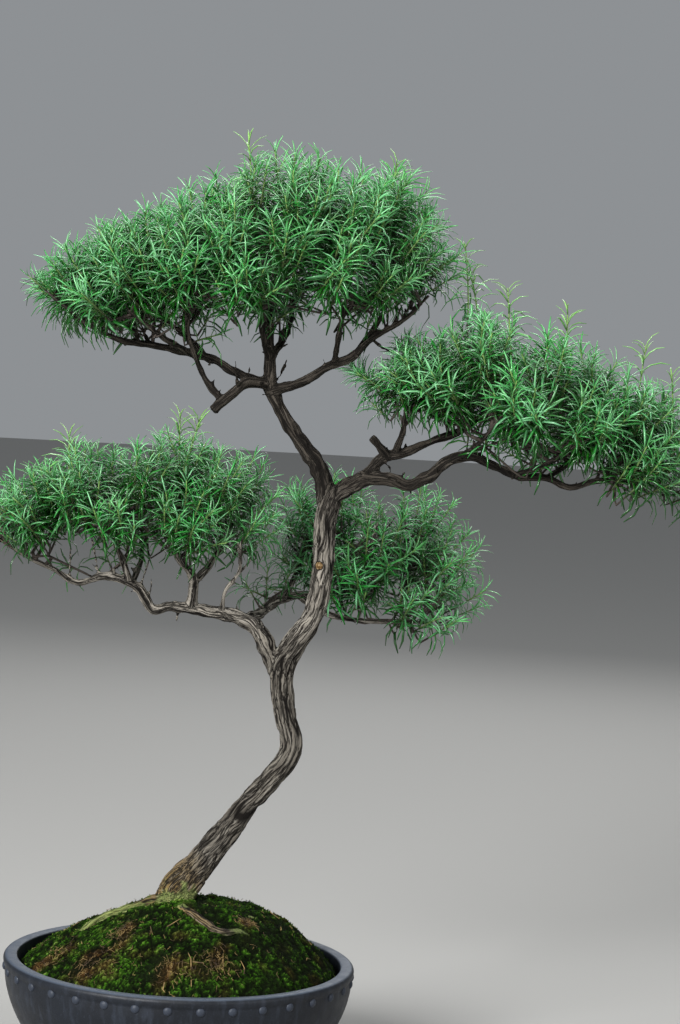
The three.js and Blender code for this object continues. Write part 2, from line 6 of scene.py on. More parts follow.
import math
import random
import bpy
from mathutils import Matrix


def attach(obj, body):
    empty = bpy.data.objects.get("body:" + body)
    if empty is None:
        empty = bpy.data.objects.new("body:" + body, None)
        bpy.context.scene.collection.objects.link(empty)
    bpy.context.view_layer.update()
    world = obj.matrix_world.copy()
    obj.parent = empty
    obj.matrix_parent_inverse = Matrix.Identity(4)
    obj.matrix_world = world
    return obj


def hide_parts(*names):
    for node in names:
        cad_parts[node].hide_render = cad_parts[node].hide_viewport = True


bl_info = {
    "name": "Rosemary bonsai",
    "version": (1, 0, 0),
    "blender": (4, 5, 0),
    "location": "3D View > Sidebar > Bonsai",
    "description": "Dresses a potted rosemary bonsai: clay pot, moss, bark and needles",
    "category": "Add Mesh",
}

import bmesh
import bpy
from bpy.props import FloatProperty, FloatVectorProperty, IntProperty, PointerProperty
from mathutils import Matrix, Vector, kdtree, noise

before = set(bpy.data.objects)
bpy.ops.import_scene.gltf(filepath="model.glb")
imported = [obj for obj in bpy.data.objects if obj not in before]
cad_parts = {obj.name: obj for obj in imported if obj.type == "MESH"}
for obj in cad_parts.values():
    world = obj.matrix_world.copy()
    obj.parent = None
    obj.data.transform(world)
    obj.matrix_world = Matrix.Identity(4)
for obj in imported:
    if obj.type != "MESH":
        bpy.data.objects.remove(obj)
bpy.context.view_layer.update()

MM = 0.001
SEED = 7
GOLDEN_ANGLE = math.pi * (3 - math.sqrt(5))
BODY = "root"

# Limbs of the tree in millimetres: points (x, y, z, radius), from where each leaves what carries it
TRUNK = [
    (-9, 5, 112, 19), (-6, 3, 150, 19.5), (-1, 0, 166, 16), (14, -2, 188, 12.6),
    (39, -6, 224, 10.3), (55, -8, 247, 9.2), (69, -9, 265, 9.1), (82, -10, 283, 9.2),
    (86, -8, 295, 9.4), (80, -5, 317, 9.4), (75, 0, 340, 9.6), (75, 2, 364, 10.6), (86, 0, 386, 9.8),
    (98, -4, 407, 9.2), (104, -8, 449, 8.9), (104, -6, 488, 9.8), (109, -3, 512, 9.5),
]
LIMBS = {
    "upper_trunk": [(106, -4, 498, 9), (100, 0, 521, 8.4), (92, 3, 537, 7.3), (75, 6, 558, 6.3),
                    (61, 5, 579, 6.3), (52, 3, 597, 6.9), (50, 1, 614, 5.4), (48, 0, 638, 4.2),
                    (47, 4, 672, 3), (54, 12, 712, 2.1)],
    "crown_stub": [(50, 2, 600, 5), (31, -10, 601, 4.6), (22, -15, 592, 4.4),
                   (10, -20, 582, 4.3), (5, -22, 576, 4.2)],
    "crown_left": [(50, 2, 600, 5.2), (24, -5, 607, 4.6), (3, -8, 618, 4.2), (-39, -13, 626, 3.6),
                   (-78, -20, 631, 2.9), (-106, -24, 644, 2.3), (-134, -28, 664, 1.5)],
    "crown_left_front": [(-14, -9, 621, 3.2), (-38, -42, 634, 2.6), (-66, -72, 655, 1.5)],
    "crown_left_back": [(0, -7, 617, 3.4), (-22, 34, 634, 2.8), (-60, 70, 660, 1.5)],
    "crown_curl": [(12, -19, 585, 3.3), (-2, -19, 600, 3), (-11, -26, 618, 2.6),
                   (-18, -50, 645, 2), (-10, -84, 676, 1.5)],
    "crown_right": [(51, 1, 594, 5), (81, -6, 605, 4.3), (101, -10, 619, 3.9),
                    (119, -14, 627, 3.5), (134, -18, 643, 2.9), (160, -24, 660, 2.1),
                    (180, -28, 682, 1.5)],
    "crown_right_front": [(104, -11, 621, 3), (107, -34, 647, 2.3), (110, -70, 672, 1.5)],
    "crown_right_back": [(121, -14, 629, 3), (141, 16, 661, 2.3), (152, 52, 690, 1.5)],
    "crown_front": [(49, 0, 621, 3.5), (42, -38, 650, 2.7), (36, -78, 688, 1.5)],
    "crown_back": [(50, 2, 620, 3.5), (64, 44, 652, 2.8), (66, 84, 690, 1.5)],
    "right": [(107, -4, 506, 8.6), (133, -6, 524, 7), (157, -8, 526, 6.2), (171, -10, 522, 5.8),
              (188, -10, 530, 5.3), (205, -12, 544, 5), (223, -12, 549, 4.6), (243, -10, 542, 4.2),
              (265, -6, 534, 3.8), (290, -4, 534, 3.3), (308, -6, 527, 3), (330, -9, 534, 2.6),
              (362, -12, 536, 2.1), (396, -14, 548, 1.5)],
    "right_upper": [(136, -6, 526, 5.6), (150, -2, 543, 4.9), (168, 0, 549, 4.4),
                    (191, 4, 560, 4), (212, 8, 568, 3.4), (242, 14, 588, 2.6), (272, 20, 612, 1.5)],
    "right_stub": [(153, -3, 545, 3.8), (146, -9, 553, 3.7), (139, -13, 560, 3.5)],
    "right_near": [(160, -1, 549, 3.2), (165, -14, 566, 2.5), (166, -40, 592, 1.5)],
    "right_front": [(207, -13, 544, 3.1), (226, -46, 560, 2.4), (244, -76, 586, 1.5)],
    "right_front_far": [(262, -7, 535, 2.9), (288, -42, 550, 2.2), (318, -68, 572, 1.5)],
    "right_back": [(214, 9, 569, 2.9), (224, 42, 584, 2.3), (226, 74, 604, 1.5)],
    "right_back_far": [(290, -3, 535, 2.7), (318, 34, 552, 2.1), (338, 60, 572, 1.5)],
    "left": [(76, 2, 340, 4), (69, 3, 357, 7.4), (60, 4, 376, 7.6), (48, 6, 394, 7.2), (34, 8, 400, 6.6),
             (17, 10, 402, 6.1), (-3, 12, 404, 5.6), (-23, 12, 405, 5), (-39, 10, 403, 4.5),
             (-45, 9, 411, 4.3), (-51, 8, 420, 4.1), (-63, 8, 426, 3.9), (-82, 8, 429, 3.5),
             (-104, 8, 422, 3), (-124, 8, 432, 2.6), (-150, 8, 443, 2), (-176, 8, 458, 1.5)],
    "left_front": [(-60, 8, 426, 3.6), (-66, -8, 446, 3), (-76, -42, 472, 1.8)],
    "left_back": [(-57, 8, 423, 2.9), (-52, 28, 446, 2.3), (-60, 62, 478, 1.5)],
    "left_middle": [(-6, 12, 406, 5), (-6, 6, 432, 4.2), (-18, -16, 450, 3),
                    (-24, -44, 474, 1.8)],
    "left_inner": [(-6, 8, 427, 3.6), (8, 24, 444, 2.8), (18, 54, 476, 1.8)],
    "left_near": [(20, 9, 404, 2.2), (23, -8, 424, 1.7), (34, -16, 442, 1.5), (32, -34, 468, 1.2)],
    "back": [(52, 5, 393, 6), (41, 30, 396, 5.5), (50, 58, 398, 5), (60, 82, 405, 4.5),
             (79, 110, 411, 4), (122, 138, 415, 3.4), (146, 150, 427, 2.8), (178, 158, 440, 2.2),
             (212, 160, 456, 1.5)],
    "back_low": [(84, 113, 411, 3.2), (112, 112, 396, 2.7), (156, 122, 391, 2.1),
                 (204, 132, 392, 1.5)],
    "back_left": [(70, 96, 408, 3.2), (82, 140, 436, 2.4), (84, 178, 470, 1.5)],
    "back_front": [(124, 139, 416, 3), (142, 122, 448, 2.2), (150, 106, 482, 1.5)],
}

# Surface roots: plan points (x, y, radius), which follow the mound and dive at their ends
ROOTS = {
    "left_root": [(-4, 0, 10), (-26, -5, 7), (-50, -8, 5), (-72, -12, 4), (-92, -22, 2.6)],
    "front_root": [(0, -10, 7), (2, -32, 5.4), (13, -45, 4.4), (23, -55, 4), (32, -63, 3.6),
                   (41, -62, 3.2), (50, -56, 2.8), (61, -54, 2)],
    "short_root": [(3, -6, 7), (8, -20, 4.2), (12, -28, 3)],
    "right_root": [(4, -2, 8), (26, -14, 4), (48, -18, 2.6), (66, -16, 1.8)],
    "back_root": [(0, 6, 9), (12, 30, 5.4), (32, 50, 4), (44, 72, 2.8)],
    "back_left_root": [(-4, 4, 9), (-26, 24, 5), (-44, 46, 3.6), (-52, 70, 2.4)],
}

# Where each root that shows comes out of the moss, as the number of its first bare point
BARE_FROM = {"left_root": 0, "front_root": 1}

# Pads of foliage, each a dome: centre and half size in plan, and the heights of its crest and of
# its hem at points (x, z). Tall shoots are tips (x, y, z) that stand out of it.
PADS = {
    "crown": {
        "sprays": 11, "shoots": 362, "centre": (26, 0), "half": (176, 118), "lowest": -0.04,
        "size": 1.0,
        "limbs": ("upper_trunk", "crown"),
        "crest": [(-152, 680), (-126, 702), (-82, 733), (-31, 757), (24, 790), (100, 790),
                  (156, 781), (200, 746)],
        "hem": [(-150, 650), (-110, 646), (-11, 664), (105, 672), (200, 676)],
        "tall": [(24, -6, 803), (148, 10, 792)],
    },
    "right": {
        "sprays": 9, "shoots": 215, "centre": (276, -8), "half": (150, 88), "limbs": ("right",),
        "lowest": -0.06, "size": 0.97,
        "crest": [(126, 622), (160, 648), (238, 664), (299, 650), (345, 630), (400, 604),
                  (426, 575)],
        "hem": [(126, 596), (205, 586), (250, 574), (330, 552), (372, 532), (426, 522)],
        "tall": [(213, 0, 727), (222, 12, 706), (245, -4, 692), (295, 4, 676), (364, -6, 650),
                 (389, 2, 628)],
    },
    "left": {
        "sprays": 8, "shoots": 165, "centre": (-58, 8), "half": (134, 82), "limbs": ("left",),
        "lowest": 0.08, "size": 0.9,
        "crest": [(-192, 486), (-161, 516), (-117, 538), (-70, 544), (-26, 552), (7, 548),
                  (50, 536), (76, 508)],
        "hem": [(-190, 468), (-119, 462), (-40, 452), (70, 440)],
        "tall": [(-117, 2, 548), (-26, 10, 570), (-12, 14, 568)],
    },
    "back": {
        "sprays": 6, "shoots": 100, "centre": (152, 150), "half": (102, 68), "limbs": ("back",),
        # The back pad lies in the crown's shade, so painted light makes its needles paler
        "lowest": -0.1, "size": 0.88, "painted_lift": 0.3,
        "crest": [(50, 506), (104, 520), (186, 516), (254, 488)],
        "hem": [(50, 436), (122, 394), (213, 386), (254, 390)],
        "tall": [],
    },
}


# Colours and settings


def linear(code):
    """A colour written as sRGB hex, such as #8899aa, as linear red, green, blue and alpha."""
    parts = [int(code[i:i + 2], 16) / 255 for i in (1, 3, 5)]
    return [c / 12.92 if c <= 0.04045 else ((c + 0.055) / 1.055) ** 2.4 for c in parts] + [1.0]


def length(name, description, millimetres):
    return FloatProperty(name=name, description=description, default=millimetres * MM,
                         min=0, precision=4, unit="LENGTH")


def colour(name, description, code):
    return FloatVectorProperty(name=name, description=description, default=linear(code),
                               size=4, min=0, max=1, subtype="COLOR")


class PotSettings(bpy.types.PropertyGroup):
    rim: length("Rim", "Diameter over the lip", 300)
    height: length("Height", "From the table to the lip's top", 106)
    base: length("Base", "Diameter of the flat base", 196)
    lip_width: length("Lip width", "Width of the flat top of the lip", 12)
    lip_height: length("Lip height", "Height of the band that the lip makes", 9)
    overhang: length("Lip overhang", "How far the lip stands out from the wall", 1.5)
    wall: length("Wall", "Thickness of the wall", 9)
    floor: length("Floor", "Thickness of the floor", 9)
    rivets: IntProperty(name="Rivets", description="Rivet heads round the wall", default=35)
    rivet: length("Rivet", "Diameter of a rivet head", 7.6)
    rivet_height: length("Rivet height", "Height of the row of rivet heads", 95.5)
    drains: IntProperty(name="Drains", description="Drain holes in the floor", default=3)
    drain: length("Drain", "Diameter of a drain hole", 16)
    drain_circle: length("Drain circle", "Diameter of the circle of drain holes", 110)
    clay: colour("Clay", "Slate grey of the fired clay", "#12171f")
    clay_dark: colour("Dark clay", "Darker flashes in the firing", "#0c0f15")
    # Rubbed lighter along streaks, and on the rivet heads also a painted highlight
    clay_rubbed_and_highlit: colour("Rubbed clay", "Lighter grey where hands have rubbed it", "#3b424f")
    # Painted reflection: the pale grey that the sky would lend the lip's flat top
    lip_sky_reflection: colour("Lip clay", "Paler grey of the lip's flat top", "#5d6878")


class MoundSettings(bpy.types.PropertyGroup):
    rise: length("Rise", "Height of the mound's top over its edge", 62)
    edge: length("Edge", "Height of the mound's edge", 98)
    radius: length("Radius", "Radius of the moss", 135.5)
    moss: length("Moss", "Thickness of the moss", 7)
    clump: length("Clump", "Width of one small cushion of moss", 3.4)
    bright: colour("Bright moss", "Growing tips", "#b0c468")
    # Painted shade at the bottom of the cracks between the cushions
    deep: colour("Deep moss", "Shaded green between the tips", "#070c03")
    dry: colour("Dry moss", "Tan patches that have dried", "#c0a06a")
    soil: colour("Soil", "Damp potting soil", "#17110d")
    litter: IntProperty(name="Litter", description="Dry needles and twigs on it", default=520)
    straw: colour("Straw", "Dry needles", "#8f7749")


class WoodSettings(bpy.types.PropertyGroup):
    skin: length("Skin", "Width of one facet of the bark", 1.1)
    furrow: length("Furrow", "Distance between the furrows of the bark", 3.2)
    depth: length("Depth", "Depth of a furrow in the trunk", 2.4)
    ridge: colour("Ridge", "Weathered ridges of the lower trunk", "#605b53")
    # Painted light: paler ridges between the limbs, making up for the shade that the foliage casts there
    ridge_painted_light: colour("Pale ridge", "Bleached ridges between the limbs", "#8a847a")
    ridge_high: colour("High ridge", "Ridges of the limbs", "#38332d")
    ridge_foot: colour("Foot", "Tan ridges where the trunk leaves the moss", "#78643f")
    # Painted shade: near black for the bottoms of the furrows, the cracks and the gaps between the
    # fibres
    groove: colour("Groove", "Bottom of the furrows", "#120f0c")
    cut: colour("Cut", "Sawn wood of an old cut", "#a8916c")
    lichen: colour("Lichen", "Grey green growth on roots and foot", "#98a662")


class FoliageSettings(bpy.types.PropertyGroup):
    needle: length("Needle", "Length of a grown needle", 27)
    width: length("Width", "Width of a grown needle", 2.0)
    pairs: length("Pair step", "Distance between pairs of needles on a shoot", 3.2)
    shoot: length("Shoot", "Leafy length of a shoot", 44)
    green: colour("Green", "Grown needles", "#259c36")
    # Waxy bloom, made pale enough to be also a painted reflection of the sky on the needles that get it
    blue: colour("Blue green", "Waxy bloom on grown needles", "#9adfae")
    young: colour("Young", "New needles at the tips", "#9bd69a")
    # Painted shade: the dark green of needles inside the pad, low on it, in its clefts and low on each
    # shoot
    shade_green: colour("Old", "Shaded needles within the pad", "#0e4a08")
    under: colour("Underside", "Pale felt under a needle", "#5aa052")
    twig: colour("Twig", "Bark of the thin twigs", "#3a322b")


class StageSettings(bpy.types.PropertyGroup):
    floor: colour("Floor", "Pale floor", "#a3a29f")
    sky: colour("Surround", "Soft light all round", "#e6ebf0")


class BonsaiSettings(bpy.types.PropertyGroup):
    pot: PointerProperty(type=PotSettings)
    mound: PointerProperty(type=MoundSettings)
    wood: PointerProperty(type=WoodSettings)
    foliage: PointerProperty(type=FoliageSettings)
    stage: PointerProperty(type=StageSettings)


# Helpers for meshes


def clamped(value, low=0, high=1):
    return min(max(value, low), high)


def as_mesh(bm, name):
    """bm as a new mesh. bm is freed."""
    mesh = bpy.data.meshes.new(name)
    bm.to_mesh(mesh)
    bm.free()
    return mesh


def add_mesh(bm, mesh):
    """Adds mesh to bm and returns its new vertices."""
    start = len(bm.verts)
    bm.from_mesh(mesh)
    bm.verts.ensure_lookup_table()
    return bm.verts[start:]


def add_copy(bm, mesh, place):
    """Adds mesh to bm at place and returns its new vertices."""
    copy = mesh.copy()
    copy.transform(place)
    verts = add_mesh(bm, copy)
    bpy.data.meshes.remove(copy)
    return verts


def finish_piece(bm, name, materials, replaced):
    """Makes bm a piece of the object that stands for the CAD nodes in replaced."""
    for face in bm.faces:
        face.smooth = True
    mesh = as_mesh(bm, name)
    for material in materials:
        mesh.materials.append(material)
    piece = bpy.data.objects.new(name, mesh)
    bpy.context.scene.collection.objects.link(piece)
    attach(piece, BODY)
    if replaced:
        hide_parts(*replaced)
    return piece


def applied(bm, modifiers):
    """bm after modifiers, given as (kind, settings), as a new bmesh. bm is freed."""
    mesh = as_mesh(bm, "work")
    work = bpy.data.objects.new("work", mesh)
    bpy.context.scene.collection.objects.link(work)
    for kind, settings in modifiers:
        modifier = work.modifiers.new(kind.lower(), kind)
        for key, value in settings.items():
            setattr(modifier, key, value)
    shaped = work.evaluated_get(bpy.context.evaluated_depsgraph_get()).to_mesh()
    made = bmesh.new()
    made.from_mesh(shaped)
    bpy.data.objects.remove(work)
    bpy.data.meshes.remove(mesh)
    return made


def smooth_path(points, step=4.0):
    """Samples (centre, radius) of a smooth curve through points (x, y, z, radius), all in mm."""
    places = [Vector(p[:3]) for p in points]
    places = [2 * places[0] - places[1], *places, 2 * places[-1] - places[-2]]
    samples = []
    for i in range(len(points) - 1):
        a, b, c, d = places[i:i + 4]
        ta, tb, tc = (max((q - p).length, 1e-4) ** 0.5 for p, q in ((a, b), (b, c), (c, d)))
        leave = ((b - a) / ta - (c - a) / (ta + tb) + (c - b) / tb) * tb
        arrive = ((c - b) / tb - (d - b) / (tb + tc) + (d - c) / tc) * tb
        count = max(1, round((c - b).length / step))
        for k in range(count + (i == len(points) - 2)):
            t = k / count
            centre = (b + leave * t + (3 * (c - b) - 2 * leave - arrive) * t * t
                      + (2 * (b - c) + leave + arrive) * t ** 3)
            radius = points[i][3] + (points[i + 1][3] - points[i][3]) * t
            samples.append((centre * MM, radius * MM))
    return samples


def framed(samples, twist=0.0):
    """Adds to each sample (centre, radius) its tangent, the two directions across it, and the
    distance along. twist turns the directions, in radians a metre."""
    framed_samples = []
    across = Vector((0.31, -0.93, 0.2))
    along = 0.0
    for i, (centre, radius) in enumerate(samples):
        before = samples[max(i - 1, 0)][0]
        after = samples[min(i + 1, len(samples) - 1)][0]
        tangent = (after - before).normalized()
        if i:
            along += (centre - samples[i - 1][0]).length
        across = (across - tangent * across.dot(tangent)).normalized()
        turned = Matrix.Rotation(twist * along, 3, tangent) @ across
        framed_samples.append((centre, radius, tangent, turned, tangent.cross(turned), along))
    return framed_samples


def add_bar(bm, path, sides, shape=None, material=0):
    """Adds a closed bar along framed samples and returns its vertices. shape(angle, share)
    scales its radius."""
    last = len(path) - 1
    bar = bmesh.new()
    bmesh.ops.create_cone(bar, cap_ends=True, cap_tris=False, segments=sides,
                          radius1=1, radius2=1, depth=1)
    if last > 1:
        upright = [e for e in bar.edges if abs(e.verts[0].co.z - e.verts[1].co.z) > 0.5]
        bmesh.ops.subdivide_edges(bar, edges=upright, cuts=last - 1)
    for vert in bar.verts:
        ring = round((vert.co.z + 0.5) * last)
        centre, radius, _, across, over, _ = path[ring]
        if shape:
            radius *= shape(math.atan2(vert.co.y, vert.co.x), ring / last)
        vert.co = centre + radius * (across * vert.co.x + over * vert.co.y)
    for face in bar.faces:
        face.material_index = material
    mesh = as_mesh(bar, "bar")
    verts = add_mesh(bm, mesh)
    bpy.data.meshes.remove(mesh)
    return verts


# Helpers for materials


def add_node(tree, kind, settings=None, links=None, stops=None):
    """Adds a node, with its properties and input values, its links and its colour stops."""
    made = tree.nodes.new(kind)
    for key, value in (settings or {}).items():
        if isinstance(key, str) and hasattr(made, key):
            setattr(made, key, value)
        else:
            made.inputs[key].default_value = value
    for key, socket in (links or {}).items():
        tree.links.new(socket, made.inputs[key])
    if stops:
        ramp = made.color_ramp
        while len(ramp.elements) < len(stops):
            ramp.elements.new(0.5)
        for element, (place, value) in zip(ramp.elements, stops):
            element.position = place
            element.color = value if hasattr(value, "__len__") else (value, value, value, 1)
    return made


def new_material(name):
    """An empty material and its Principled shader."""
    material = bpy.data.materials.new(name)
    material.use_nodes = True
    tree = material.node_tree
    shader = tree.nodes["Principled BSDF"]
    return material, tree, shader


def paint(tree, shader, base, fixed):
    """Links the shader's base colour and sets the fixed values of its other inputs."""
    tree.links.new(base, shader.inputs["Base Color"])
    for key, value in fixed.items():
        shader.inputs[key].default_value = value


def mixed(tree, share, first, second):
    """The colour first turning to second by share. Each is a socket or a fixed value."""
    settings, links = {"data_type": "RGBA"}, {}
    for key, value in ((0, share), (6, first), (7, second)):
        if isinstance(value, bpy.types.NodeSocket):
            links[key] = value
        else:
            settings[key] = value
    return add_node(tree, "ShaderNodeMix", settings, links).outputs[2]


def noise_at(tree, place, size, detail=4.0, roughness=0.55, stretch=None):
    """Noise whose grains are about size metres wide, at the coordinates place."""
    if stretch:
        place = add_node(tree, "ShaderNodeMapping", {"Scale": stretch},
                         {"Vector": place}).outputs[0]
    return add_node(tree, "ShaderNodeTexNoise",
                    {"Scale": 1 / size, "Detail": detail, "Roughness": roughness},
                    {"Vector": place}).outputs["Fac"]


def ramped(tree, value, stops):
    return add_node(tree, "ShaderNodeValToRGB", links={"Fac": value}, stops=stops).outputs[0]


def risen(tree, value, low, high):
    """value as a share that is 0 at low and 1 at high."""
    return add_node(tree, "ShaderNodeMapRange", {"From Min": low, "From Max": high},
                    {"Value": value}).outputs[0]


def parts(tree, vector):
    """The three parts of a vector socket."""
    return add_node(tree, "ShaderNodeSeparateXYZ", links={"Vector": vector}).outputs


def bumped(tree, shader, height, distance, strength):
    bump = add_node(tree, "ShaderNodeBump", {"Distance": distance, "Strength": strength},
                    {"Height": height})
    tree.links.new(bump.outputs[0], shader.inputs["Normal"])


def object_place(tree):
    return add_node(tree, "ShaderNodeTexCoord").outputs["Object"]


def attribute(tree, name):
    return add_node(tree, "ShaderNodeAttribute", {"attribute_name": name}).outputs["Vector"]


def clay_material(s, name, wear_and_highlight):
    """Unglazed stoneware: fine grain, faint flashes and upright streaks, with a painted reflection of
    the sky on the lip's top. It is rubbed lighter by worn, which on the rivet heads also paints their
    highlights."""
    material, tree, shader = new_material(name)
    place = object_place(tree)
    flashes = ramped(tree, noise_at(tree, place, 0.045, 5), [(0.35, 0), (0.7, 1)])
    base = mixed(tree, flashes, s.clay, s.clay_dark)
    streaks = ramped(tree, noise_at(tree, place, 0.006, 4, stretch=(1, 1, 0.25)),
                     [(0.5, 0), (0.78, 1)])
    # Streaks are rubbed lighter; the rivet heads are lightened all over, partly wear and partly a
    # painted highlight
    rubbed = mixed(tree, streaks, (wear_and_highlight, wear_and_highlight, wear_and_highlight, 1), (0.35, 0.35, 0.35, 1))
    base = mixed(tree, rubbed, base, s.clay_rubbed_and_highlit)
    # Painted reflection: the lip's flat top is lightened, as the sky would show on it
    lip = risen(tree, parts(tree, place)[2], s.height - 1.6 * MM, s.height - 0.4 * MM)
    lip = add_node(tree, "ShaderNodeMath", {"operation": "MULTIPLY", 1: 0.5}, {0: lip})
    base = mixed(tree, lip.outputs[0], base, s.lip_sky_reflection)
    grit = ramped(tree, noise_at(tree, place, 0.0012, 2), [(0.62, 0), (0.72, 0.3)])
    base = mixed(tree, grit, base, s.clay_rubbed_and_highlit)
    paint(tree, shader, base, {"Specular IOR Level": 0.32})
    rough = ramped(tree, noise_at(tree, place, 0.01, 4), [(0.3, 0.44), (0.75, 0.6)])
    tree.links.new(rough, shader.inputs["Roughness"])
    bumped(tree, shader, noise_at(tree, place, 0.0016, 5, 0.65), 0.0005, 0.35)
    return material


def soil_material(s):
    """Damp potting soil: near black crumbs."""
    material, tree, shader = new_material("damp_soil")
    place = object_place(tree)
    crumbs = noise_at(tree, place, 0.003, 5, 0.7)
    base = mixed(tree, ramped(tree, crumbs, [(0.4, 0), (0.7, 1)]), s.soil, linear("#4a3a2c"))
    paint(tree, shader, base, {"Roughness": 0.95})
    bumped(tree, shader, crumbs, 0.002, 0.8)
    return material


def moss_material(s):
    """Cushion moss: bright growing tips over painted shade that turns near black in the cracks and in
    the pits of the grain, darker in patches and, as painted shade, towards the right, tan where it has
    dried.
    """
    material, tree, shader = new_material("cushion_moss")
    place = object_place(tree)
    cushion = attribute(tree, "cushion")
    height, shade, dryness = parts(tree, cushion)
    # Painted shade: the lower the moss lies between its cushions, the darker its green and its tan, near
    # black in the cracks
    green = ramped(tree, height, [(0.05, s.deep), (0.3, linear("#182a08")),
                                  (0.55, linear("#3c6814")), (1.0, s.bright)])
    tan = ramped(tree, height, [(0.05, linear("#150e07")), (0.4, linear("#4a351c")), (1.0, s.dry)])
    base = mixed(tree, dryness, green, tan)
    # Darker in patches, and towards the right as painted shade
    base = mixed(tree, ramped(tree, shade, [(0.4, 0), (1.0, 0.75)]), base, linear("#11170a"))
    # Painted shade: near black in the pits of the fine grain that also bumps it
    grain = noise_at(tree, place, 0.0013, 4, 0.75)
    base = mixed(tree, ramped(tree, grain, [(0.42, 0.8), (0.54, 0)]), base, linear("#060a02"))
    paint(tree, shader, base, {"Roughness": 0.92, "Specular IOR Level": 0.05})
    bumped(tree, shader, grain, 0.0012, 0.9)
    return material


# Heights in metres between which the bark's colour changes. The tan foot fades out between two
# heights too, read where x times the slant is added to the height.
BARK_HEIGHTS = (0.15, 0.6)
FOOT_HEIGHTS = (0.225, 0.16)
FOOT_SLANT = 1.5


def bark_material(s):
    """Old rosemary bark: long fibrous ridges with painted shade in their furrows, tan at the foot and
    grey brown over it, palest between the limbs, where painted light makes up for the shade of the
    foliage, and darkest above."""
    material, tree, shader = new_material("furrowed_bark")
    place = object_place(tree)
    grain = attribute(tree, "grain")
    groove, cut, lichen = parts(tree, attribute(tree, "form"))
    right, _, height = parts(tree, place)
    level = risen(tree, height, *BARK_HEIGHTS)
    slant = add_node(tree, "ShaderNodeMath", {"operation": "MULTIPLY_ADD", 1: FOOT_SLANT},
                     {0: right, 2: height}).outputs[0]
    foot = risen(tree, slant, *FOOT_HEIGHTS)
    # Painted light: the ridges are paler about 0.40 to 0.47 m high, between the limbs, against the
    # foliage's shade
    ridge = ramped(tree, level, [(0.47, s.ridge), (0.56, s.ridge_painted_light), (0.7, s.ridge_painted_light),
                                 (0.82, s.ridge_high)])
    ridge = mixed(tree, foot, ridge, s.ridge_foot)
    fibre = noise_at(tree, grain, 0.0009, 4, 0.65)
    strips = noise_at(tree, grain, 0.0032, 3, 0.6)
    base = mixed(tree, ramped(tree, strips, [(0.3, 0.5), (0.5, 0.0)]), ridge, s.groove)
    # Pale flecks at random along the fibres, partly the bark's own colour and partly painted highlights;
    # between the limbs they are lifted by painted light as well
    wear_and_highlight = ramped(tree, noise_at(tree, grain, 0.0018, 3), [(0.5, 0), (0.68, 0.6)])
    fleck_highlight = ramped(tree, level, [(0.5, linear("#8e897f")), (0.55, linear("#98928a")),
                                    (0.7, linear("#98928a")), (0.82, linear("#5c564e"))])
    base = mixed(tree, wear_and_highlight, base, fleck_highlight)
    # Painted shade: near black in the narrow cracks, between the fibres and deep in the furrows, where
    # the relief sinks
    cracks = ramped(tree, strips, [(0.43, 1), (0.475, 0.05), (0.51, 0.05), (0.555, 1)])
    base = mixed(tree, cracks, s.groove, base)
    base = mixed(tree, ramped(tree, fibre, [(0.38, 0.8), (0.46, 0)]), base, s.groove)
    base = mixed(tree, ramped(tree, groove, [(0.3, 0), (0.75, 1)]), base, s.groove)
    growth = mixed(tree, ramped(tree, fibre, [(0.4, 0), (0.6, 1)]), linear("#2c3a1a"), s.lichen)
    base = mixed(tree, lichen, base, growth)
    base = mixed(tree, ramped(tree, cut, [(0.1, 0), (0.3, 1)]), base, s.groove)
    sawn = mixed(tree, ramped(tree, noise_at(tree, place, 0.0025, 3), [(0.4, 0), (0.6, 1)]),
                 s.cut, linear("#5b4427"))
    base = mixed(tree, ramped(tree, cut, [(0.45, 0), (0.7, 1)]), base, sawn)
    paint(tree, shader, base, {"Roughness": 0.88, "Specular IOR Level": 0.15})
    relief = mixed(tree, 0.55, cracks, fibre)
    bumped(tree, shader, relief, 0.0016, 1.0)
    return material


def twig_material(s):
    """Thin rosemary twigs: smooth brown bark, greener towards the leafy end."""
    material, tree, shader = new_material("twig_bark")
    green = parts(tree, attribute(tree, "leaf"))[2]
    speckle = noise_at(tree, object_place(tree), 0.0016, 3)
    bark = mixed(tree, ramped(tree, speckle, [(0.45, 0), (0.65, 0.6)]), s.twig, linear("#191613"))
    base = mixed(tree, ramped(tree, green, [(0.2, 0), (0.9, 1)]), bark, linear("#6f8f4a"))
    paint(tree, shader, base, {"Roughness": 0.85})
    return material


def litter_material(s):
    """Dry needles and bits of twig: straw brown, some grey."""
    material, tree, shader = new_material("dry_needles")
    hue = noise_at(tree, object_place(tree), 0.012, 2)
    base = mixed(tree, ramped(tree, hue, [(0.4, 0), (0.6, 1)]), s.straw, linear("#40301f"))
    paint(tree, shader, base, {"Roughness": 0.85})
    return material


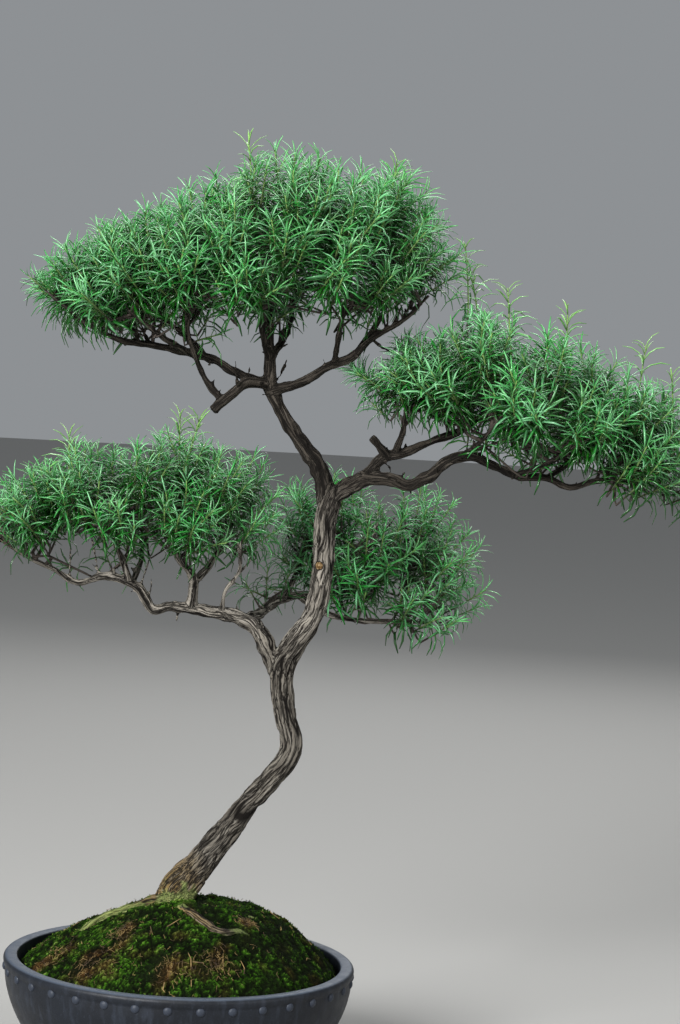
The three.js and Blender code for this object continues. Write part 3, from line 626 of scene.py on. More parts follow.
def needle_material(s):
    """Rosemary needles: leathery and waxy above, pale felt below, yellow green when young, with a
    painted reflection of the sky on some and painted shade inside the pad.
    """
    material, tree, shader = new_material("rosemary_needle")
    along, under, up = parts(tree, attribute(tree, "leaf"))
    own, painted_shade, youth = parts(tree, attribute(tree, "tone"))
    # Needles chosen at random turn pale blue green: the waxy bloom, and a painted reflection of the sky
    base = mixed(tree, ramped(tree, own, [(0.25, 0), (1, 0.75)]), s.green, s.blue)
    # Painted shade: needles turn towards the dark green by the shade in the tone's second part
    base = mixed(tree, painted_shade, base, s.shade_green)
    young = mixed(tree, ramped(tree, youth, [(0.7, 0), (1.0, 1)]), s.young, linear("#83b25c"))
    fresh = add_node(tree, "ShaderNodeMath", {"operation": "MULTIPLY"}, {0: up, 1: youth})
    base = mixed(tree, fresh.outputs[0], base, young)
    foot = ramped(tree, along, [(0.0, 0.55), (0.3, 0)])
    base = mixed(tree, foot, base, linear("#6f8f4e"))
    base = mixed(tree, ramped(tree, under, [(0.55, 0), (1, 0.8)]), base, s.under)
    paint(tree, shader, base, {"Roughness": 0.32, "Coat Weight": 0.4, "Coat Roughness": 0.2})
    return material


# Pot


def wall_radius(s, height):
    """Radius of the drum's outside at a height in metres."""
    base = s.base / 2
    share = clamped(height / (s.height - s.lip_height))
    return base + (s.rim / 2 - s.overhang - base) * math.sin(share * math.pi / 2)


def pot_profile(s):
    """Corners (radius, height, rounding) of the pot's section, from the base's centre round the
    outside and over the lip to the floor's centre."""
    under_lip = s.height - s.lip_height
    rim = s.rim / 2
    outside = [(wall_radius(s, z * MM), z * MM, 0) for z in range(6, 97, 6)]
    inside = [(wall_radius(s, z * MM) - s.wall, z * MM, 0) for z in range(90, 10, -8)]
    return [(0, 0, 0), (s.base / 2, 0, 2 * MM), *outside, (rim - s.overhang, under_lip, 0),
            (rim - 0.3 * MM, under_lip + 2.4 * MM, 2 * MM), (rim, s.height - 3 * MM, 1.4 * MM),
            (rim - 2 * MM, s.height, 2.4 * MM), (rim - s.lip_width, s.height - 0.6 * MM, 2 * MM),
            *inside, (wall_radius(s, 0.009) - s.wall - 3 * MM, s.floor, 3 * MM), (0, s.floor, 0)]


def pot_mesh(s, steps=160):
    bm = bmesh.new()
    corners = pot_profile(s)
    verts = [bm.verts.new((radius, 0, height)) for radius, height, _ in corners]
    for first, second in zip(verts, verts[1:]):
        bm.edges.new((first, second))
    for rounding in sorted({corner[2] for corner in corners if corner[2]}):
        rounded = [v for v, corner in zip(verts, corners) if corner[2] == rounding]
        edges = list(dict.fromkeys(e for v in rounded for e in v.link_edges))
        bmesh.ops.bevel(bm, geom=rounded + edges, offset=rounding * 0.8, offset_type="OFFSET",
                        affect="VERTICES", segments=4, profile=0.5, material=-1)
        verts = [v if v.is_valid else None for v in verts]
        corners = [corner for v, corner in zip(verts, corners) if v]
        verts = [v for v in verts if v]
    bmesh.ops.spin(bm, geom=bm.verts[:] + bm.edges[:], cent=(0, 0, 0), axis=(0, 0, 1),
                   angle=2 * math.pi, steps=steps, use_merge=True)
    bmesh.ops.remove_doubles(bm, verts=bm.verts[:], dist=1e-6)
    bmesh.ops.recalc_face_normals(bm, faces=bm.faces[:])
    return bm


def add_rivet(bm, s, number):
    """A rivet head: a low dome whose rim is sunk into the wall."""
    turn = Matrix.Rotation(number / s.rivets * 2 * math.pi - math.pi / 2, 4, "Z")
    foot = wall_radius(s, s.rivet_height)
    squash = Matrix.Diagonal((0.6, 1, 1, 1))
    place = turn @ Matrix.Translation((foot - 0.3 * MM, 0, s.rivet_height)) @ squash
    made = bmesh.ops.create_uvsphere(bm, u_segments=16, v_segments=10, radius=s.rivet / 2,
                                     matrix=place)
    for face in {face for vert in made["verts"] for face in vert.link_faces}:
        face.material_index = 1


def cut_drains(bm, s):
    holes = bmesh.new()
    for number in range(s.drains):
        place = (Matrix.Rotation(number * 2 * math.pi / s.drains, 4, "Z")
                 @ Matrix.Translation((s.drain_circle / 2, 0, s.floor / 2)))
        bmesh.ops.create_cone(holes, cap_ends=True, segments=32, radius1=s.drain / 2,
                              radius2=s.drain / 2, depth=3 * s.floor, matrix=place)
    cutter = bpy.data.objects.new("cutter", as_mesh(holes, "cutter"))
    bpy.context.scene.collection.objects.link(cutter)
    made = applied(bm, [("BOOLEAN", {"object": cutter, "operation": "DIFFERENCE",
                                     "solver": "EXACT"})])
    bpy.data.objects.remove(cutter)
    return made


class BONSAI_OT_pot(bpy.types.Operator):
    """Make the drum pot with its rolled lip, rivet heads and drain holes"""

    bl_idname = "bonsai.pot"
    bl_label = "Pot"

    def execute(self, context):
        s = context.scene.bonsai.pot
        bm = cut_drains(pot_mesh(s), s)
        for number in range(s.rivets):
            add_rivet(bm, s, number)
        # The rivet heads' clay is lighter: rubbed, and also a painted highlight
        clays = [clay_material(s, "fired_stoneware", 0), clay_material(s, "rubbed_and_highlit_stoneware", 0.5)]
        finish_piece(bm, "drum_pot", clays, ["pot"])
        return {"FINISHED"}


# Mound


def mound_height(x, y):
    """Height of the mound's surface over the table, in metres."""
    s = bpy.context.scene.bonsai.mound
    inner = bpy.context.scene.bonsai.pot.rim / 2 - bpy.context.scene.bonsai.pot.lip_width
    radius = math.hypot(x, y)
    steepness = 2.08 + 0.52 * x / max(radius, MM)
    return s.edge + s.rise * (1 - min(1, radius / inner) ** steepness)


def hummocks(x, y):
    """Low unevenness of the mound."""
    return 1.6 * MM * (math.sin(110 * x + 1.3) * math.cos(130 * y) + 0.6 * math.sin(70 * (x + y)))


# Squares along a side of the grids that become the moss and the soil, the number of tufts on the
# moss, and how many kinds of tuft there are
MOSS_GRID = 236
SOIL_GRID = 90
TUFTS = 2350
TUFT_KINDS = 12

# Patches of moss that have dried to tan, and the bank of moss that has crept over the front
# root's start: (x, y, radius) in mm
DRY_PATCHES = [(-66, -88, 22), (-44, -58, 12), (2, -106, 17), (36, -98, 15), (-104, -52, 14),
               (58, -40, 7)]
MOSS_BANK = (1, -24, 13)


def nearness(x, y, spot):
    """1 at the heart of a spot (x, y, radius) in mm, falling to 0 well outside it."""
    return math.exp(-((x / MM - spot[0]) ** 2 + (y / MM - spot[1]) ** 2) / spot[2] ** 2)


def cushions(place, clump):
    """Height of the moss's cushions and of the plates that cracks part it into, how dark their patch is,
    at random and, as painted shade, towards the right, and how dry it is, each from 0 to 1."""
    swayed = place + 1.2 * MM * noise.noise_vector(place / (4 * MM))
    fine = noise.voronoi(swayed / clump)[0]
    coarse = noise.voronoi(swayed / (3.1 * clump) + Vector((0, 0, 0.4)))[0]
    small = min(1, 1.8 * (fine[1] - fine[0])) * (1 - 0.5 * fine[0])
    cracked = clamped(0.8 + 1.4 * noise.noise(place / 0.03), 0.2)
    large = 1 - cracked * (1 - min(1, 2.6 * (coarse[1] - coarse[0])))
    # Painted shade: darker towards +x, as if the light came from the left; the noise darkens patches at
    # random
    shade = 0.45 + 1.1 * noise.noise(place / 0.024 + Vector((0, 0, 3))) + 3.4 * place.x
    dryness = -0.15 + 1.2 * noise.noise(place / 0.016 + Vector((0, 0, 7)))
    dryness += max(nearness(place.x, place.y, spot) for spot in DRY_PATCHES)
    return small, large, clamped(shade), clamped(dryness)


def disc_grid(radius, count):
    """A square grid drawn out to a disc, so that its faces stay much the same size."""
    bm = bmesh.new()
    bmesh.ops.create_grid(bm, x_segments=count, y_segments=count, size=1)
    for vert in bm.verts:
        x, y, _ = vert.co
        vert.co = Vector((x * math.sqrt(1 - y * y / 2), y * math.sqrt(1 - x * x / 2), 0)) * radius
    return bm


def close_below(bm, low_at):
    """Closes an open sheet with a wall down to low_at(vert) and a floor."""
    rim = [e for e in bm.edges if e.is_boundary]
    grown = bmesh.ops.extrude_edge_only(bm, edges=rim)["geom"]
    low = [v for v in grown if isinstance(v, bmesh.types.BMVert)]
    for vert in low:
        vert.co.z = low_at(vert)
    bmesh.ops.contextual_create(bm, geom=[e for e in bm.edges if e.is_boundary])
    bmesh.ops.recalc_face_normals(bm, faces=bm.faces[:])


def tuft_mesh(draw):
    """A tuft of moss: seven short leaning spikes."""
    bm = bmesh.new()
    for _ in range(7):
        lean = Matrix.Rotation(draw.uniform(0, 0.9), 4, "X")
        turn = Matrix.Rotation(draw.uniform(0, 2 * math.pi), 4, "Z")
        high = draw.uniform(1.2, 2.6) * MM
        up = Matrix.Translation((0, 0, 0.4 * high))
        bmesh.ops.create_cone(bm, cap_ends=True, segments=3, radius1=0.42 * MM, radius2=0,
                              depth=high, matrix=turn @ lean @ up)
    return as_mesh(bm, "tuft")


class BONSAI_OT_moss(bpy.types.Operator):
    """Make the moss: cushions parted by cracks, with a fuzz of tufts"""

    bl_idname = "bonsai.moss"
    bl_label = "Moss"

    def execute(self, context):
        s = context.scene.bonsai.mound
        noise.seed_set(SEED)
        bm = disc_grid(s.radius, MOSS_GRID)
        layer = bm.verts.layers.float_vector.new("cushion")
        for vert in bm.verts:
            x, y, _ = vert.co
            small, large, shade, dryness = cushions(vert.co, s.clump)
            rough = noise.noise(vert.co / 0.0019) + 0.6 * noise.noise(vert.co / 0.0045)
            edge = min(1, (s.radius - math.hypot(x, y)) / (6 * MM))
            rise = (0.8 * small + 2.4 * large + 0.8 * rough - 4.6) * MM
            rise += 6.5 * MM * nearness(x, y, MOSS_BANK)
            vert.co.z = mound_height(x, y) + hummocks(x, y) + rise - (1 - edge) ** 2 * 2.5 * MM
            # bright is how high the moss stands, which the material turns into painted shade low down
            # and bright tips on top
            bright = (0.3 + 0.3 * small) * large + 0.42 * rough
            bright += 0.25 * nearness(x, y, MOSS_BANK)
            vert[layer] = (clamped(bright), shade, dryness)
        close_below(bm, lambda v: mound_height(v.co.x, v.co.y) - s.moss)
        draw = random.Random(SEED)
        tufts = [tuft_mesh(draw) for _ in range(TUFT_KINDS)]
        bm.verts.ensure_lookup_table()
        # Tufts stand only where the moss is high, so that the painted shade in the cracks stays dark;
        # each is a little lighter than the moss under it
        tops = [v for v in bm.verts if v[layer].x > 0.22]
        fuzz = bmesh.new()
        fuzz_layer = fuzz.verts.layers.float_vector.new("cushion")
        for vert in draw.sample(tops, TUFTS):
            turn = Matrix.Rotation(draw.uniform(0, 6.28), 4, "Z")
            scale = Matrix.Scale(draw.uniform(0.7, 1.2), 4)
            place = Matrix.Translation(vert.co) @ turn @ scale
            height, shade, dryness = vert[layer]
            for spike in add_copy(fuzz, draw.choice(tufts), place):
                spike[fuzz_layer] = (min(1, height + 0.12), shade, dryness)
        add_mesh(bm, as_mesh(fuzz, "fuzz"))
        finish_piece(bm, "cushion_moss", [moss_material(s)], ["moss"])
        return {"FINISHED"}


class BONSAI_OT_soil(bpy.types.Operator):
    """Make the soil that fills the pot and shows in the gap round the moss"""

    bl_idname = "bonsai.soil"
    bl_label = "Soil"

    def execute(self, context):
        s = context.scene.bonsai
        lowest = s.pot.floor + 0.3 * MM
        bm = disc_grid(s.mound.radius - 2.5 * MM, SOIL_GRID)
        for vert in bm.verts:
            x, y, _ = vert.co
            crumbs = noise.noise(vert.co / 0.004) + 0.6 * noise.noise(vert.co / 0.0018)
            vert.co.z = mound_height(x, y) - 10.5 * MM + 1.4 * MM * crumbs
        rings = [(wall_radius(s.pot, z * MM) - s.pot.wall - 1.2 * MM, z * MM) for z in (70, 38)]
        rings.append((wall_radius(s.pot, lowest) - s.pot.wall - 5 * MM, lowest))
        for radius, height in rings:
            rim = [e for e in bm.edges if e.is_boundary]
            grown = bmesh.ops.extrude_edge_only(bm, edges=rim)["geom"]
            for vert in (v for v in grown if isinstance(v, bmesh.types.BMVert)):
                flat = Vector((vert.co.x, vert.co.y, 0)).normalized() * radius
                vert.co = flat + Vector((0, 0, height))
        bmesh.ops.contextual_create(bm, geom=[e for e in bm.edges if e.is_boundary])
        bmesh.ops.recalc_face_normals(bm, faces=bm.faces[:])
        finish_piece(bm, "potting_soil", [soil_material(s.mound)], ["soil"])
        return {"FINISHED"}


# Wood


def root_points(points, bare_from):
    """The root's points (x, y, z, radius) in mm, on the mound and diving at the end. Moss grows
    over it as far as the point bare_from."""
    lifted = []
    for i, (x, y, radius) in enumerate(points):
        sunk = radius + 3 if i < bare_from else 0.3 * radius + 1.2
        if i == len(points) - 1:
            sunk = 1.6 * radius + 2
        lifted.append((x, y, mound_height(x * MM, y * MM) / MM - sunk, radius))
    return lifted


def fluted(angle, share):
    return 1 + (0.13 - 0.08 * share) * math.cos(3 * angle + 4 * share) + 0.05 * math.cos(7 * angle)


def spur_points(samples, draw):
    """A short dead twig that leaves a limb sideways."""
    centre, radius, tangent, across, over, _ = draw.choice(samples)
    angle = draw.uniform(0, 2 * math.pi)
    out = (across * math.cos(angle) + over * math.sin(angle) + tangent * draw.uniform(0.2, 0.9))
    tip = centre + out.normalized() * (radius + draw.uniform(3, 9) * MM)
    thick = draw.uniform(0.9, 1.4)
    middle = centre.lerp(tip, 0.6) + tangent * MM
    return [(*(centre / MM), 1.6 * thick), (*(middle / MM), thick), (*(tip / MM), 0.8 * thick)]


def twig_points(samples, draw):
    """A bare twig that rises from the outer half of a limb into the leaves."""
    centre, _, tangent, across, over, _ = draw.choice(samples[len(samples) // 2:-4])
    out = (across * draw.gauss(0, 0.7) + over * draw.gauss(0, 0.7) + tangent * draw.uniform(0, 0.9)
           + Vector((0, 0, draw.uniform(0.3, 1.2)))).normalized()
    reach = draw.uniform(16, 34) * MM
    knee = centre + out * 0.5 * reach + Vector([draw.gauss(0, 2) * MM for _ in range(3)])
    tip = knee + (out + Vector((0, 0, 0.5))).normalized() * 0.55 * reach
    return [(*(centre / MM), 1.6), (*(knee / MM), 1.3), (*(tip / MM), 0.95)]


# Where lichen is thickest, in mm: (x, y, z, radius), at the trunk's foot, on the left root and at
# the front root's end
LICHEN = [(3, -22, 160, 24), (-52, -10, 140, 44), (58, -54, 138, 20)]

# The rubbed part of the front root: (x, y, radius) in mm
BARE_WOOD = (18, -48, 20)

# Old cuts on trunk and limbs, in mm: (x, y, z, radius, how bare the wood is)
CUTS = [(101, -15, 450, 4.6, 0.9), (95, -6, 531, 3, 0.45), (3, -23, 573, 5, 0.6),
        (137, -14, 563, 4.4, 0.7)]


# Samples of a limb to each dead spur and to each bare twig on it, and the share of the bark's
# faces that is kept, so that the wood stays under 200,000 triangles
SPUR_EVERY = 6
TWIG_EVERY = 9
KEPT_FACES = 0.58


def wood_paths():
    """Every bar of the wood as (framed samples, sides, shape)."""
    paths = [(framed(smooth_path(TRUNK), 7.0), 24, fluted)]
    for points in LIMBS.values():
        paths.append((framed(smooth_path(points), 9.0), 12, None))
    for name, points in ROOTS.items():
        path = smooth_path(root_points(points, BARE_FROM.get(name, len(points))))
        paths.append((framed(path, 9.0), 12, None))
    return paths


def bark_height(grain, furrow):
    """Height of the bark from 0 in a furrow to 1 on a ridge."""
    broad = min(1, 4.5 * abs(noise.noise(grain / (2.6 * furrow))))
    fine = min(1, 3.6 * abs(noise.noise(grain / furrow + Vector((5, 5, 5)))))
    return min(broad * (2 - broad), 0.45 + 0.55 * fine * (2 - fine))


def grain_at(place, sample):
    """place in the grain of the limb at sample: twice across it, and drawn out along it."""
    centre, radius, tangent, across, over, along, limb = sample
    off = place - centre
    run = along + off.dot(tangent)
    grain = Vector((off.dot(across), off.dot(over), run))
    sway = grain / (15 * MM) + Vector((3, 5, 7)) * limb
    sway = Vector((noise.noise(sway), noise.noise(sway + Vector((9, 0, 0))), 0))
    grain.z *= 0.06
    grain += Vector((0.05, 0.03, 0.07)) * limb + sway * min(2.2 * MM, 0.3 * radius)
    return grain


def cut_at(place):
    """How bare an old cut has left the wood at place, from 0 to 1."""
    cut = max(bare * min(1, 3 * (1 - (place - Vector(spot) * MM).length / (size * MM)))
              for *spot, size, bare in CUTS)
    return max(cut, 0)


def lichen_at(place):
    """How thick the lichen on the wood is at place."""
    over_moss = place.z - mound_height(place.x, place.y)
    wild = noise.noise(place / 0.012) + 0.6 * noise.noise(place / 0.004)
    patch = max(1 - (place - Vector(spot) * MM).length / (size * MM) for *spot, size in LICHEN)
    lichen = 0.3 - over_moss / (9 * MM) + 1.5 * wild + max(0, 1.8 * patch)
    return clamped(lichen - 1.5 * nearness(place.x, place.y, BARE_WOOD), 0, 0.75)


class BONSAI_OT_wood(bpy.types.Operator):
    """Make the trunk, limbs and roots as one skin of furrowed bark"""

    bl_idname = "bonsai.wood"
    bl_label = "Wood"

    def execute(self, context):
        s = context.scene.bonsai.wood
        draw = random.Random(SEED)
        paths = wood_paths()
        bm = bmesh.new()
        for samples, sides, shape in paths:
            add_bar(bm, samples, sides, shape)
        for samples, _, _ in paths[1:-len(ROOTS)]:
            for _ in range(len(samples) // SPUR_EVERY):
                spur = framed(smooth_path(spur_points(samples, draw), 3))
                add_bar(bm, spur, 8)
        for samples, _, _ in paths[1:-len(ROOTS)]:
            for _ in range(len(samples) // TWIG_EVERY):
                add_bar(bm, framed(smooth_path(twig_points(samples, draw), 3)), 8)
        bm = applied(bm, [
            ("REMESH", {"mode": "VOXEL", "voxel_size": s.skin}),
            ("SMOOTH", {"factor": 0.5, "iterations": 3}),
        ])
        self.carve(bm, s, [(*sample, limb) for limb, path in enumerate(paths)
                           for sample in path[0]])
        bm = applied(bm, [("DECIMATE", {"ratio": KEPT_FACES})])
        finish_piece(bm, "bonsai_wood", [bark_material(s)], ["wood"])
        return {"FINISHED"}

    @staticmethod
    def carve(bm, s, samples):
        """Presses furrows into the skin along the nearest limb, and notes what grows there."""
        tree = kdtree.KDTree(len(samples))
        for i, sample in enumerate(samples):
            tree.insert(sample[0], i)
        tree.balance()
        grain_layer = bm.verts.layers.float_vector.new("grain")
        form_layer = bm.verts.layers.float_vector.new("form")
        bm.normal_update()
        moves = []
        for vert in bm.verts:
            near = tree.find_n(vert.co, 6)
            index = min(near, key=lambda hit: hit[2] - samples[hit[1]][1])[1]
            radius, limb = samples[index][1], samples[index][-1]
            grain = grain_at(vert.co, samples[index])
            ridge = bark_height(grain, s.furrow)
            cut = cut_at(vert.co)
            depth = min(s.depth, 0.22 * radius) * (1 - cut)
            gnarl = noise.noise(vert.co / (9 * MM)) + 0.7 * noise.noise(vert.co / (18 * MM))
            swell = (0.08 if limb == 0 else 0.26) * radius * gnarl * (1 - cut)
            moves.append(vert.normal * (depth * (ridge - 0.9) + swell))
            vert[grain_layer] = grain
            vert[form_layer] = (1 - ridge, cut, lichen_at(vert.co))
        for vert, move in zip(bm.verts, moves):
            vert.co += move


# Foliage

# In mm: how far the lowest tips of a pad stand over its hem, how deep in the pad a tuft's shoots
# meet, and the width of the cleft between two tufts
TIP_RISE = 20
TUFT_DEPTH = 60
CLEFT_WIDTH = 20

# Turn in radians from one pair of needles to the next
PAIR_TURN = 1.35

# Shoots in a tuft, and shoots that share a branchlet
TUFT_SHOOTS = 9
GROUP_SHOOTS = 5

# Lengths of tall and of small shoots, as shares of a grown one
TALL = 1.4
SMALL = 0.6


def height_at(outline, x):
    """Height in mm at x on an outline of points (x, z)."""
    if x <= outline[0][0]:
        return outline[0][1]
    for (x0, z0), (x1, z1) in zip(outline, outline[1:]):
        if x <= x1:
            return z0 + (z1 - z0) * (x - x0) / (x1 - x0)
    return outline[-1][1]


def on_dome(pad, way, share):
    """A point in metres in direction way, at a share of the way out from the dome's heart."""
    spread = share * (way.x * way.x + way.y * way.y) ** -0.1
    x = pad["centre"][0] + pad["half"][0] * way.x * spread
    y = pad["centre"][1] + pad["half"][1] * way.y * spread
    hem = height_at(pad["hem"], x) + TIP_RISE
    lift = min(1, way.z / math.sqrt(max(0.12, 1 - way.x * way.x)))
    return Vector((x, y, hem + (height_at(pad["crest"], x) - hem) * lift * share)) * MM


def even_way(i, count, lowest):
    """Directions spread evenly over a dome, from its top down to lowest."""
    z = 1 - (i + 0.5) / count * (1 - lowest)
    ring = math.sqrt(1 - z * z)
    return Vector((ring * math.cos(i * GOLDEN_ANGLE), ring * math.sin(i * GOLDEN_ANGLE), z))


def lean_of(way):
    """A shoot leans outwards on the pad's sides and stands up on its top."""
    return Vector((way.x, way.y, 0.7 + 1.1 * max(0, way.z))).normalized()


def turn_to(direction):
    return direction.to_track_quat("Z", "Y").to_matrix().to_4x4()


def needle_mesh(s, bend):
    """A needle along +Z, flat towards -X and keeled towards +X, which it bends to by bend."""
    bm = bmesh.new()
    leaf = bm.verts.layers.float_vector.new("leaf")
    bm.verts.layers.float_vector.new("tone")
    bmesh.ops.create_cone(bm, cap_ends=True, cap_tris=False, segments=3, radius1=1, radius2=1,
                          depth=1)
    upright = [e for e in bm.edges if abs(e.verts[0].co.z - e.verts[1].co.z) > 0.5]
    bmesh.ops.subdivide_edges(bm, edges=upright, cuts=2)
    widths = (0.6, 1.0, 0.95, 0.4)
    corners = sorted({round(math.atan2(v.co.y, v.co.x), 2) for v in bm.verts})
    section = dict(zip(corners, ((-0.14, -0.5), (0.26, 0.0), (-0.14, 0.5))))
    for vert in bm.verts:
        ring = round((vert.co.z + 0.5) * 3)
        share = ring / 3
        corner = round(math.atan2(vert.co.y, vert.co.x), 2)
        x, y = section[corner]
        wide = s.width * widths[ring]
        angle = bend * share
        middle = Vector(((1 - math.cos(angle)) / bend, 0, math.sin(angle) / bend)) * s.needle
        across = Vector((math.cos(angle), 0, -math.sin(angle)))
        vert.co = middle + across * x * wide + Vector((0, y * wide, 0))
        vert[leaf] = (share, 1.0 if x > 0 else 0.0, 0)
    bmesh.ops.recalc_face_normals(bm, faces=bm.faces[:])
    return as_mesh(bm, "needle")


def shoot_mesh(s, needles, draw, long=1.0, step=1.0, spread=62.0, youth=0.6, woody=0.6):
    """A leafy shoot along +Z: a thin stem with pairs of needles that arch out and down, shorter
    and more upright towards its tip. Its needles are grown as far as woody of the way; painted
    shade darkens them towards the shoot's foot, the more so the greater woody is."""
    tall = s.shoot * long
    pairs = round(tall / (s.pairs * step))
    bow = draw.uniform(-0.14, 0.14)
    bm = bmesh.new()
    leaf = bm.verts.layers.float_vector.new("leaf")
    tone = bm.verts.layers.float_vector.new("tone")
    stem = [(bow * tall * (k / 4) ** 2 / MM, 0, tall * k / 4 / MM, 0.9 - 0.1 * k) for k in range(5)]
    for vert in add_bar(bm, framed(smooth_path(stem, 12)), 4, material=1):
        vert[leaf] = (0, 0, 1 - 1.25 * woody * (1 - vert.co.z / tall))
    for k in range(pairs):
        up = (k + 0.5) / pairs
        for side in (0, 1):
            azimuth = k * PAIR_TURN + side * math.pi + draw.gauss(0, 0.3)
            angle = math.radians(spread + (12 - spread) * up ** 1.5) + draw.gauss(0, 0.13)
            size = (1.04 - 0.42 * up ** 2.4) * draw.uniform(0.8, 1.14)
            bent = (1 - 0.75 * up) * len(needles) + draw.uniform(-0.9, 0.5)
            foot = Vector((bow * tall * up * up, 0, tall * up * 0.98))
            place = (Matrix.Translation(foot) @ Matrix.Rotation(azimuth, 4, "Z")
                     @ Matrix.Rotation(angle, 4, "Y") @ Matrix.Rotation(draw.gauss(0, 0.35), 4, "Z")
                     @ Matrix.Diagonal((1, 0.75 + 0.3 * size, 1, 1)) @ Matrix.Scale(size, 4))
            own = draw.random()
            fresh = max(0, (up - woody) / (1 - woody)) * youth
            # Painted shade: needles near the shoot's foot, deep in the pad, are darkened
            shaded = 1.6 * woody * max(0, 1 - up / 0.85)
            for vert in add_copy(bm, needles[clamped(int(bent), 0, len(needles) - 1)], place):
                vert[leaf].z = fresh
                vert[tone] = (own, shaded, 0)
    return as_mesh(bm, "shoot")


class Spray:
    """One spray: a stem from a bud on a limb, its branchlets, and the shoots that they carry."""

    def __init__(self, pad, index, buds):
        self.buds = buds
        self.way = even_way(index, pad["sprays"], -0.06)
        self.heart = on_dome(pad, self.way, 0.45)
        self.bud = min(buds, key=lambda bud: (bud - self.heart).length)
        lift = lean_of(self.way) * 8 * MM
        self.fork = self.bud.lerp(self.heart, 0.55) + lift
        self.shoots = []

    def add(self, heel, lean, mesh, size, painted_shade, youth):
        self.shoots.append((heel, lean, mesh, size, painted_shade, youth))


def limb_buds(pad):
    """Points in metres along the pad's limbs."""
    buds = []
    for name, points in LIMBS.items():
        if name.startswith(pad["limbs"]) and not name.endswith("stub"):
            samples = [centre for centre, _ in smooth_path(points, 9)]
            buds += samples[2:-1]
    return buds


def tuft_hearts(pad, draw):
    """The pad's tufts: the middle of each at the dome, where its shoots meet, and how far it
    stands up."""
    tufts = []
    count = pad["shoots"] // TUFT_SHOOTS
    for i in range(count):
        way = even_way(i, count, pad["lowest"])
        crest = on_dome(pad, way, 1)
        tufts.append((crest, crest - lean_of(way) * TUFT_DEPTH * MM, draw.gauss(0, 4.5) * MM))
    return tufts


def fill_pad(pad, s, shoots, tall_shoots, small_shoots, draw):
    """Spreads the pad's shoots over its dome and hands each to the nearest spray."""
    buds = limb_buds(pad)
    sprays = [Spray(pad, i, buds) for i in range(pad["sprays"])]
    tufts = tuft_hearts(pad, draw)
    for i in range(pad["shoots"]):
        inner = i % 4 == 3
        way = even_way(i, pad["shoots"], 0.4 if inner else pad["lowest"])
        share = draw.uniform(0.6, 0.84) if inner else draw.uniform(0.93, 1.02)
        tip = on_dome(pad, way, share * (1 + 0.1 * noise.noise(way * 3.1)))
        near, far = sorted((tip - crest).length for crest, _, _ in tufts)[:2]
        crest, heart, rise = min(tufts, key=lambda tuft: (tip - tuft[0]).length)
        cleft = max(0, 1 - (far - near) / (CLEFT_WIDTH * MM))
        jitter = Vector((draw.gauss(0, 1), draw.gauss(0, 1), draw.gauss(0, 0.6)))
        tip = tip.lerp(crest, 0.15).lerp(heart, 0.24 * cleft) + jitter * 3 * MM
        tip.z += rise
        lean = ((tip - heart).normalized() + lean_of(way) + jitter * 0.2).normalized()
        size = draw.uniform(0.82, 1.1) * pad["size"]
        heel = tip - lean * s.shoot * size
        spray = max(sprays, key=lambda one: one.way.dot(way))
        # Painted shade: darker low on the pad, in the clefts between tufts and for inner shoots; the
        # random part stands for shoots turned to or from the light
        low = clamped(0.75 - 0.9 * way.z)
        painted_shade = 0.2 * low + 0.5 * cleft + draw.uniform(0, 0.3) + (0.5 if inner else 0)
        # Painted light lifts a pad that lies in the shade of others
        painted_shade -= pad.get("painted_lift", 0)
        spray.add(heel, lean, draw.choice(shoots), size, painted_shade, draw.uniform(0.1, 0.8))
    for point in pad["tall"]:
        tip = Vector(point) * MM
        spray = min(sprays, key=lambda one: (one.heart - tip).length)
        lean = Vector((draw.uniform(-0.15, 0.15), draw.uniform(-0.15, 0.15), 1)).normalized()
        spray.add(tip - lean * s.shoot * TALL, lean, draw.choice(tall_shoots), 1, 0, 1)
    near = [bud for bud in buds if bud.z > (height_at(pad["hem"], bud.x / MM) - 35) * MM]
    for bud in draw.sample(near, len(near) // 2):
        spray = min(sprays, key=lambda one: (one.heart - bud).length)
        lean = Vector((draw.gauss(0, 0.6), draw.gauss(0, 0.6), draw.uniform(0.3, 1.4))).normalized()
        spray.add(bud + lean * draw.uniform(4, 26) * MM, lean, draw.choice(small_shoots),
                  draw.uniform(0.7, 1), draw.uniform(0.2, 0.8), 0.2)
    return sprays


def add_twig(bm, points, sides=5, material=1):
    """A thin twig through points (place, radius in mm)."""
    path = framed(smooth_path([(*(place / MM), radius) for place, radius in points], 9))
    add_bar(bm, path, sides, material=material)


def branch_out(bm, spray, draw):
    """The spray's stem, branchlets to groups of near shoots, and a twig to each shoot's heel."""
    add_twig(bm, [(spray.bud, 2.4), (spray.bud.lerp(spray.fork, 0.5) + Vector((0, 0, 2 * MM)), 2.0),
                  (spray.fork, 1.7)], 6)
    waiting = list(spray.shoots)
    while waiting:
        first = max(waiting, key=lambda shoot: (shoot[0] - spray.fork).length)
        group = sorted(waiting, key=lambda shoot: (shoot[0] - first[0]).length)[:GROUP_SHOOTS]
        waiting = [shoot for shoot in waiting if shoot not in group]
        middle = sum((shoot[0] for shoot in group), Vector()) / len(group)
        start = min([spray.fork, *spray.buds], key=lambda place: (place - middle).length)
        knot = start.lerp(middle, 0.6)
        bend = Vector((draw.gauss(0, 1), draw.gauss(0, 1), draw.gauss(0, 1))) * 4 * MM
        add_twig(bm, [(start, 1.8), (start.lerp(knot, 0.5) + bend, 1.5), (knot, 1.25)])
        for heel, lean, *_ in group:
            turn = heel - lean * min(12 * MM, 0.4 * (heel - knot).length)
            add_twig(bm, [(knot, 1.05), (turn, 0.95), (heel, 0.9)], 4)


